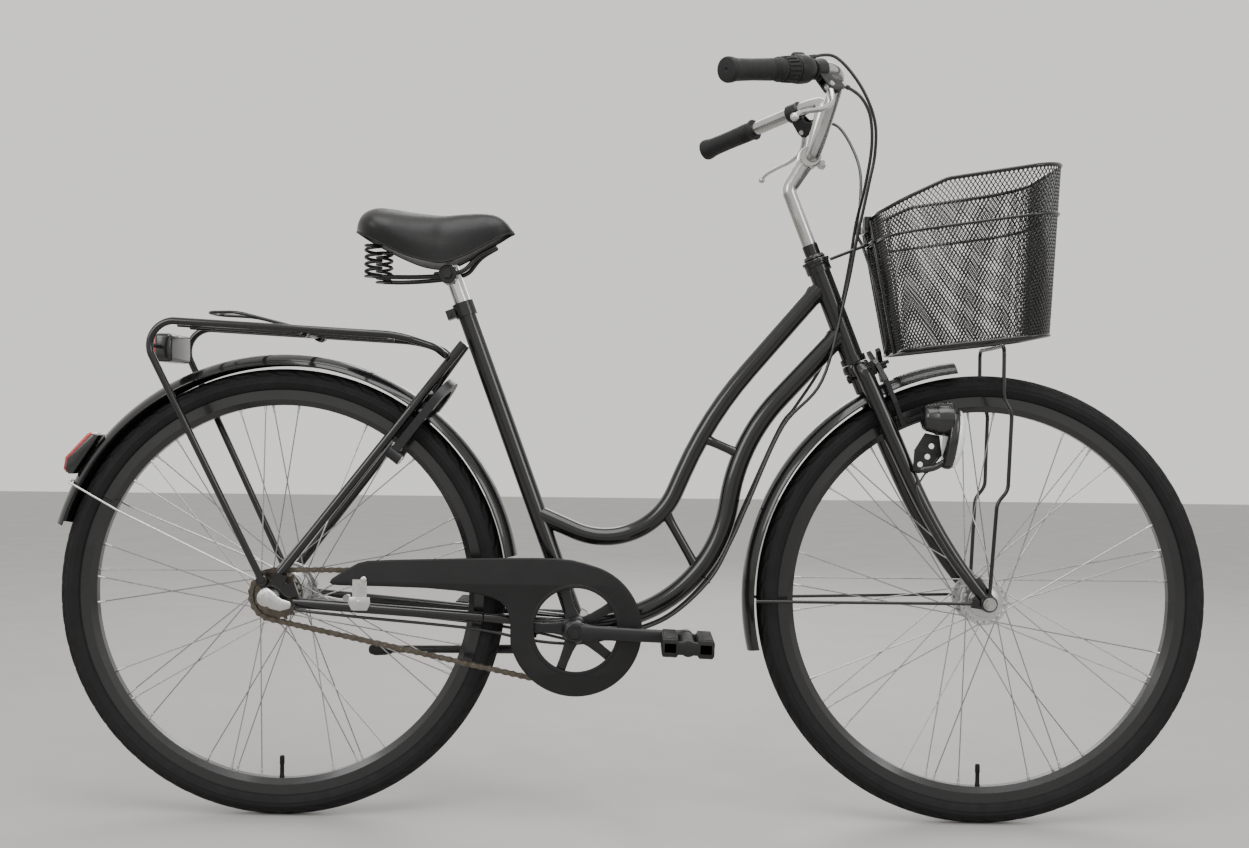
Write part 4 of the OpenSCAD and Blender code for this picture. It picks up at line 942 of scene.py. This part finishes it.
FRONT_BRAKE_ROUTE = (
    (312, 120, 1123), (338, 116, 1116), (358, 98, 1080), (368, 70, 1034), (366, 50, 985), (358, 34, 930),
    (368, 24, 900), (388, 10, 830), (402, 14, 765), (405, 17, 740),
)
LAMP_ROUTE = (
    (470, -60, 572), (446, -58, 540), (440, -58, 515), (480, -62, 440), (516, -62, 390), (541, -46, 368),
)


def flowing(points, steps=8):
    """A smooth line through the points of a route."""
    points = [Vector(p) for p in points]
    line = []
    for i in range(len(points) - 1):
        a, b = points[max(i - 1, 0)], points[i]
        c, d = points[i + 1], points[min(i + 2, len(points) - 1)]
        for k in range(steps):
            t = k / steps
            line.append(0.5 * (2 * b + (c - a) * t + (2 * a - 5 * b + 4 * c - d) * t * t
                               + (3 * b - a - 3 * c + d) * t ** 3) * MM)
    return line + [points[-1] * MM]


def sleeved(route):
    """A cable in its sleeve along a route, with a ferrule at each end."""
    line = flowing(route)
    return Shape().tube(line, 2.5 * MM, 14).tube(line[:3], 3.6 * MM, 14).tube(line[-4:], 3.4 * MM, 14)


cable_sleeve = surface("cable_sleeve", (0.008, 0.008, 0.008), (0.014, 0.014, 0.014), 0.3, 0.05, size=80,
                       bump=0.15, bump_size=600, coat=0.3, coat_rough=0.2)
for name, route, node in (("gear_cable_sleeve", GEAR_ROUTE, "gear_cable"),
                          ("rear_brake_sleeve", BRAKE_ROUTE, "rear_brake_cable")):
    piece = make(name, sleeved(route), None, cable_sleeve, [node])
    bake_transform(piece)
front = sleeved(FRONT_BRAKE_ROUTE).tube(flowing(LAMP_ROUTE), 1.5 * MM, 10)
make("front_cable_sleeves", front, "steering", cable_sleeve, ["front_cables"])

# Clips that hold both cables under the down tube
clips = Shape()
for i in (10, 12, 14):
    p = Vector(GEAR_ROUTE[i])
    clips.tube(rounded([(p.x, p.y - 3, p.z), (p.x + 1, -17, p.z - 3.4), (p.x + 2, 0, p.z - 4.5),
                        (p.x + 1, 17, p.z - 3.4), (p.x, -p.y + 3, p.z)], 6), 1.4 * MM, 8)
make("cable_clips", clips, "frame", matt_plastic)


# ---------------------------------------------------------------------------
# Fork and front brake: a round crown with two blades that taper and curve
# forward to flat dropouts, all in black lacquer. The brake's arms are pressed
# alloy with rubber blocks.
# ---------------------------------------------------------------------------
blade_place = STEER @ move(4, -35, -32) @ turn(-2.7, "X") @ turn(87.8, "Y")
line = [at(x, 0, 0) for x in range(-6, 168, 12)]
line += [at(168 + 800 * math.sin(math.radians(a)), 0, 800 * (1 - math.cos(math.radians(a))))
         for a in (16.2 * k / 18 for k in range(19))]
n = len(line) - 1
widths = [(13.2 - 4.6 * max(0, i / n - 0.3) / 0.7) * MM for i in range(n + 1)]
blades = Shape().tube(line, widths, 28, wide=(0, 1, 0), domed=True).placed(blade_place).both_sides()
fork = Shape().add(blades.points, blades.faces)
crown = rounded([(3, -35, -38), (3, -35, -26), (2, -27, -20), (2, 27, -20), (3, 35, -26), (3, 35, -38)], 14)
fork.tube([STEER @ p for p in crown], 12.6 * MM, 28)
fork.turned(((-30, 6), (-30, 17), (-12, 17.4), (-10.6, 16), (-10.6, 6)), STEER)
fork.turned(((136, 6), (136, 12.4), (188, 12.4), (188, 6)), STEER)
for side in (-1, 1):
    ear = move(550.5, side * 53, 350) @ TO_SIDE
    fork.plate([[(-10, -9), (6, -11.5), (12, -6), (13, 3), (8, 11), (-6, 30), (-14, 42), (-26, 34), (-16, 14),
                 (-26, 7), (-29, 0), (-26, -7)]], 6, 1.6, ear)
make("fork_brazed", fork, "steering", black_paint, ["fork"])
blocks = Shape()
for side in (-1, 1):
    shoe = STEER @ move(40, side * 27, -124)
    blocks.block((-24, -3.6, -5), (24, 3.6, 5), 2, shoe)
    blocks.turned(((-3, 2.8), (12, 2.8), (12.4, 1.8)), shoe @ turn(-90 * side, "X"), 20)
make("brake_blocks", blocks, "steering", rubber)
finish_nodes(black_forging, "brake_arm_left", "brake_arm_right", "front_brake_bridge")


# ---------------------------------------------------------------------------
# Basket: thin steel wires laid on the slant both ways, with a round rim wire
# and a bottom wire, all painted black. The thin wires cross in one layer. A
# third, thicker wire runs round the outside.
# ---------------------------------------------------------------------------
def egg(x0, x1, half, corner, steps=22):
    """Outline of a rounded rectangle, from the middle of its rear side."""
    line = []
    for cx, cy, first in ((x0 + corner, half - corner, 180), (x1 - corner, half - corner, 90),
                          (x1 - corner, corner - half, 0), (x0 + corner, corner - half, -90)):
        line += [(cx + corner * math.cos(math.radians(first - 90 * k / steps)),
                  cy + corner * math.sin(math.radians(first - 90 * k / steps))) for k in range(steps + 1)]
    return line


def spread_out(outline, count):
    """The same outline as count points at equal distances."""
    ring = [Vector((x, y, 0)) for x, y in outline]
    legs = [(b - a).length for a, b in zip(ring, ring[1:] + ring[:1])]
    total, out, i, gone = sum(legs), [], 0, 0.0
    for k in range(count):
        want = total * k / count
        while gone + legs[i] < want:
            gone += legs[i]
            i += 1
        out.append(ring[i].lerp(ring[(i + 1) % len(ring)], (want - gone) / legs[i]))
    return out


AROUND = 150
LOW_Z, HIGH_Z = 728.5, 1016.5  # heights of the two rings that the side is drawn between
low_ring = spread_out(egg(412, 632, 109, 44), AROUND)
high_ring = spread_out(egg(358, 645, 138, 64), AROUND)


def wall(k, z):
    """A point of the basket's side, by place around it and height."""
    t = (z - LOW_Z) / (HIGH_Z - LOW_Z)
    whole, part = int(math.floor(k)), k - math.floor(k)
    low = low_ring[whole % AROUND].lerp(low_ring[(whole + 1) % AROUND], part)
    high = high_ring[whole % AROUND].lerp(high_ring[(whole + 1) % AROUND], part)
    p = low.lerp(high, t)
    return Vector((p.x, p.y, z))


def floor_z(x):
    """Height of the basket's bottom at x, in mm."""
    return 734 + (x - 412) * 0.118


def rim_z(x):
    """Height of the basket's rim at x, in mm."""
    for (x0, z0), (x1, z1) in (((340, 938), (372, 944)), ((372, 944), (464, 985)), ((464, 985), (660, 1016))):
        if x <= x1:
            return z0 + (z1 - z0) * (x - x0) / (x1 - x0)
    return 1013


def on_wall(k, share):
    """share 0 is the bottom wire, 1 the rim."""
    foot = wall(k, floor_z(wall(k, 740).x))
    return wall(k, foot.z + (rim_z(wall(k, 980).x) - foot.z) * share)


basket = Shape()
LEVELS = 34
WIRE_R = 0.8
MID_X = 522
for slant in (-1, 1):
    for start in range(AROUND):
        basket.tube([on_wall(start + slant * j * 0.72, j / LEVELS) * MM for j in range(0, LEVELS + 1, 2)],
                    WIRE_R * MM, 4)
for slant in (-1, 1):
    for i in range(-32, 33):
        line = []
        for j in range(-60, 61):
            x, y = MID_X + i * 6 + j * 3, slant * (j * 3 - i * 6)
            inside = math.hypot(max(abs(x - MID_X) - 66, 0), max(abs(y) - 65, 0)) < 43
            if inside:
                line.append(at(x, y, floor_z(x)))
        if len(line) > 2:
            basket.tube(line[::4] + line[-1:], WIRE_R * MM, 4)
for share, radius in ((1, 3), (0, 2.5)):
    basket.tube([on_wall(k, share) * MM for k in range(AROUND)], radius * MM, 12, joined=True)
belt = []
for k in range(AROUND):
    z = 902 + (wall(k, 910).x - 370) * 0.145
    p = wall(k, z)
    out = (Vector((p.x, p.y, 0)) - Vector((503, 0, 0))).normalized()
    belt.append((p + out * 2.2) * MM)
basket.tube(belt, 2.2 * MM, 10, joined=True)
make("basket_wires", basket, "steering", black_paint, ["basket"])


# ---------------------------------------------------------------------------
# Basket stays: bent steel wire from the axle up to the basket floor on both
# sides, and a flat bracket with two bars behind it, clamped at the headset.
# ---------------------------------------------------------------------------
stay = Shape()
stay.tube(rounded([(566, 0, 743), (566, -66, 743.5), (566, -71.5, 736), (566, -71, 664), (579, -70, 642),
    (575, -67, 524), (559, -66, 504), (551, -60, 366)], 9), 3 * MM, 14)
stay.tube(rounded([(369, -30, 936), (389, -30, 833), (408, -30, 733)], 4), 3 * MM, 14, domed=True)
ring = move(550.5, -59, 350) @ TO_SIDE
stay.plate([circle(0, 0, 13, 40), circle(0, 0, 5.6, 28)], 5, 1.4, ring)
stays = stay.both_sides()
stays.tube([at(373, -34, 905), at(373, 34, 905)], 3 * MM, 14, domed=True)
stays.tube([at(371, 0, 905), at(311, 0, 881)], 2.6 * MM, 14)
stays.turned(((158, 19), (158, 22), (162, 22), (162, 19)), STEER)
stays.block((360, -26, 922), (372, 26, 946), 2.6)
make("basket_stay_wires", stays, "steering", black_paint, ["basket_stays"])


# ---------------------------------------------------------------------------
# Lights: a moulded headlight on a pressed bracket at the fork blade, with a
# clear lens over a silvered dish; behind, a red lens snapped into a black case.
# ---------------------------------------------------------------------------
gloss_plastic = surface("gloss_plastic", (0.007, 0.007, 0.0075), (0.012, 0.012, 0.013), 0.2, 0.06, size=30,
                        bump=0.08, bump_size=700, coat=0.3, coat_rough=0.1)
silvered = surface("silvered_dish", (0.62, 0.63, 0.64), (0.78, 0.79, 0.8), 0.16, 0.06, size=150, metal=1.0)
lens = surface("clear_lens", (0.74, 0.77, 0.78), (0.86, 0.88, 0.89), 0.07, 0.03, size=40, coat=0.8,
    coat_rough=0.03, bump=0.5, bump_size=90, bump_stretch=(1, 6, 0.1))
red = surface("red_lens", (0.30, 0.004, 0.006), (0.48, 0.012, 0.014), 0.16, 0.05, size=60, coat=0.9,
              coat_rough=0.05, bump=0.5, bump_size=420)
lamp_axis = move(444, -68, 634) @ turn(94, "Y")
lamp = Shape().turned(((0, 6), (0, 15), (2, 18), (6, 20.5), (20, 23.5), (22, 25.2), (34, 26), (42, 26),
    (44, 24)), lamp_axis, 56)
face = move(487, -68, 602) @ turn(90, "Z") @ turn(98, "X")
oval = [(25 * math.sin(a), 47 * math.cos(a)) for a in (2 * math.pi * k / 56 for k in range(56))]
lamp.plate([oval], 14, 4, face)
lamp.tube(rounded([(478, -68, 566), (462, -62, 556), (440, -54, 553)], 8), 5 * MM, 14, domed=True)
make("headlight_shell", lamp, "steering", gloss_plastic, ["headlight"])
make("headlight_dish", Shape().plate([[(x * 0.86, y * 0.92) for x, y in oval]], 4, 1,
                                     face @ move(0, 0, 6.4)), "steering", silvered)
# The lens, ring by ring: share of the oval and height
DOME = ((0.95, 0), (0.93, 3), (0.82, 7), (0.62, 10.5), (0.36, 12.6), (0.1, 13.4))
glass = Shape().rings([[face @ (Vector((x * q, y * q, 7.2 + h)) * MM) for x, y in oval]
                       for q, h in DOME])
make("headlight_lens", glass, "steering", lens)
tab = move(446, -59, 566) @ TO_SIDE
make("headlight_bracket",
     Shape().plate([[(-14, -14), (8, -18), (30, 10), (26, 40), (4, 44), (-12, 18)],
                    circle(-3, -4, 4.2), circle(8, 8, 4.2), circle(14, 24, 4.2)], 3, 0.8, tab),
     "steering", black_forging)

case = Shape()
outline = [(-830, 593), (-842, 595), (-880, 556), (-883, 540), (-878, 532), (-870, 532), (-860, 548),
    (-845, 570)]
case.plate([outline], 42, 3, TO_SIDE)
make("rear_light_case", case, "frame", gloss_plastic, ["rear_light"])
lens_edge = [(-840, 590), (-844, 597.5), (-849, 596), (-884, 558), (-886.5, 540), (-882, 534),
    (-877, 540), (-874, 556)]
make("rear_light_lens", Shape().plate([lens_edge], 36, 2, TO_SIDE), "frame", red)
holder = Shape().block((-736, -46, 708), (-709, 46, 752), 6, steps=4)
make("reflector_case", holder, "frame", gloss_plastic, ["rack_reflector"])
make("reflector_face", Shape().block((-739.5, -41, 713), (-734, 41, 747), 2.4, steps=3), "frame",
    red)


# ---------------------------------------------------------------------------
# Rear rack: two bent steel tubes with welded rods across and along, painted
# black, bolted at the axle ends. A sprung wire clip turns on its front rod.
# ---------------------------------------------------------------------------
loop = [at(-690 + 37 * math.cos(math.radians(a)), -88.7, 731 + 37 * math.sin(math.radians(a)))
        for a in range(207, 92, -6)]
rail = [at(-558, -71.5, 374)] + loop + rounded([(-692, -88.7, 768), (-352, -82.7, 750), (-300, -56, 734),
                                               (-287, -35, 722)], 26)
rack = Shape().tube(rail, 5.5 * MM, 20, domed=True)
rack.tube([at(-704, -30, 765.4), at(-380, -30, 748.3)], 3 * MM, 14, domed=True)
rack.plate([circle(0, 0, 9, 32), circle(0, 0, 3.4, 20)], 4.6, 1.4,
           move(-559, -71.5, 374) @ TO_SIDE)
rack = rack.both_sides()
for x in (-680, -590, -400):
    z = 768 - 0.053 * (x + 690)
    rack.tube([at(x, -87, z), at(x, 87, z)], 3.5 * MM, 14)
rack.tube([at(-727, -86, 731), at(-727, 86, 731)], 3 * MM, 14)
rack.tube([at(-502, -85, 753), at(-502, 85, 753)], 3.5 * MM, 14)
make("rack_welded", rack, "frame", black_paint, ["rack_frame"])
sprung = Shape().tube(rounded([(-502, -58, 759), (-606, -50, 785), (-659, -28, 786), (-659, 28, 786),
    (-606, 50, 785), (-502, 58, 759)], 16), 2.6 * MM, 14)
for y in (-58, 58):
    sprung.turned(((-6, 3.7), (-6, 6.6), (-5, 7.4), (5, 7.4), (6, 6.6), (6, 3.7)),
                  move(-502, y, 753) @ TO_SIDE, 28)
for side in (-1, 1):
    coil = [at(-502 + 5.6 * math.cos(a), side * (36 + a * 0.45), 753 + 5.6 * math.sin(a))
            for a in (math.pi * k / 8 for k in range(81))]
    sprung.tube(coil, 1.2 * MM, 8)
make("rack_clip_wire", sprung, "clip", black_paint, ["rack_clip"])


# ---------------------------------------------------------------------------
# Saddle: foam under a stretched black vinyl cover, with a piped lower edge.
# Two steel rails and two coil springs carry it, clamped on a chromed post.
# ---------------------------------------------------------------------------
# Stations along the saddle: x, half width, top and lower edge, in mm
SADDLE = (
    (-426, 40, 922, 912), (-415, 75, 942, 906), (-395, 95, 951, 896), (-370, 95, 950, 884),
    (-340, 82, 946, 872), (-310, 66, 943.5, 866), (-290, 52, 943, 866), (-260, 39, 946, 878),
    (-230, 31, 947, 895), (-210, 27, 943, 906), (-195, 18, 932, 914), (-186, 3, 918, 916),
)
tops = flowing([(x, half, top) for x, half, top, low in SADDLE], 5)
lows = flowing([(x, half, low) for x, half, top, low in SADDLE], 5)
skins = []
edge_line = []
for t, l in zip(tops, lows):
    row = []
    for a in range(-90, 91, 6):
        bend = abs(math.sin(math.radians(a)))
        y = math.copysign(t.y * bend ** 0.85 * (1 - 0.12 * max(0, (abs(a) - 60) / 30) ** 2), a)
        row.append(Vector((t.x, y, l.z + (t.z - l.z) * max(math.cos(math.radians(a)), 0) ** 0.75)))
    edge_line.append(row[-1])
    row += [Vector((t.x, t.y * share, l.z + rise * MM)) for share, rise in
            ((0.80, 0.2), (0.72, 3), (0, 5), (-0.72, 3), (-0.80, 0.2))]
    skins.append(row)
saddle_vinyl = surface("saddle_vinyl", (0.007, 0.007, 0.0075), (0.012, 0.012, 0.0125), 0.36, 0.06, size=45,
                       bump=0.5, bump_size=1300, gleam=0.32)
cover = make("saddle_cover", Shape().rings(skins), "seat", saddle_vinyl, ["saddle"],
    crease=50)
piping = edge_line + [Vector((p.x, -p.y, p.z)) for p in edge_line[::-1]]
make("saddle_piping", Shape().tube(piping, 1.6 * MM, 10, joined=True), "seat", rubber)
carriage = Shape()
carriage.tube(rounded([(-214, -9, 894), (-240, -16, 880), (-262, -24, 852), (-306, -24, 849)], 14),
    3.5 * MM, 16, domed=True)
carriage.tube(rounded([(-288, -24, 847), (-330, -32, 843), (-372, -41, 842), (-398, -45, 843)], 20),
    3.5 * MM, 16, domed=True)
carriage.turned(((0, 3), (0, 14), (1.6, 14.6), (3, 13), (3, 3)), move(-398, -45, 841), 32)
carriage.turned(((0, 3), (0, 13), (1.4, 14.6), (3, 14), (3, 3)), move(-398, -45, 888), 32)
carriage.tube([at(-398 + 12 * math.cos(a), -45 + 12 * math.sin(a), 844 + a * 44 / (8 * math.pi))
               for a in (math.pi * k / 10 for k in range(81))], 2.4 * MM, 12)
carriage = carriage.both_sides()
yoke = move(-286, 0, 849) @ TO_SIDE
carriage.turned(((-31, 3), (-31, 13), (-29.5, 14.4), (-15, 14.8), (15, 14.8), (29.5, 14.4), (31, 13),
    (31, 3)), yoke, 40)
carriage.turned(((-38, 3), (-38, 7.4), (-31, 7.6), (31, 7.6), (38, 7.4), (38, 3)), yoke, 6)
dark_steel = surface("saddle_steel", (0.02, 0.02, 0.021), (0.035, 0.035, 0.036), 0.32, 0.08, size=120,
    metal=0.6, bump=0.2, bump_size=800)
make("saddle_rails", carriage, "seat", dark_steel, ["saddle_frame"])
chrome = surface("chrome_plate", (0.62, 0.62, 0.63), (0.74, 0.74, 0.75), 0.09, 0.05, size=30, metal=1.0,
                 bump=0.06, bump_size=300)
finish_nodes(chrome, "seatpost")


# ---------------------------------------------------------------------------
# Frame lock: a black cast ring lock bolted to the seat stays, with a bright
# key barrel on the chain side.
# ---------------------------------------------------------------------------
finish_nodes(black_forging, "frame_lock")
LOCK_LEAN = 37.7
key = move(-326, 0, 632) @ turn(LOCK_LEAN, "Y") @ move(21.6, -38, -74) @ OUT
make("lock_key_barrel", Shape().turned(((0, 2), (0, 8.4), (1.4, 8.2), (2, 7.2), (2, 3.4), (1, 3),
    (1, 0.3)), key, 32), "frame", cast_silver)
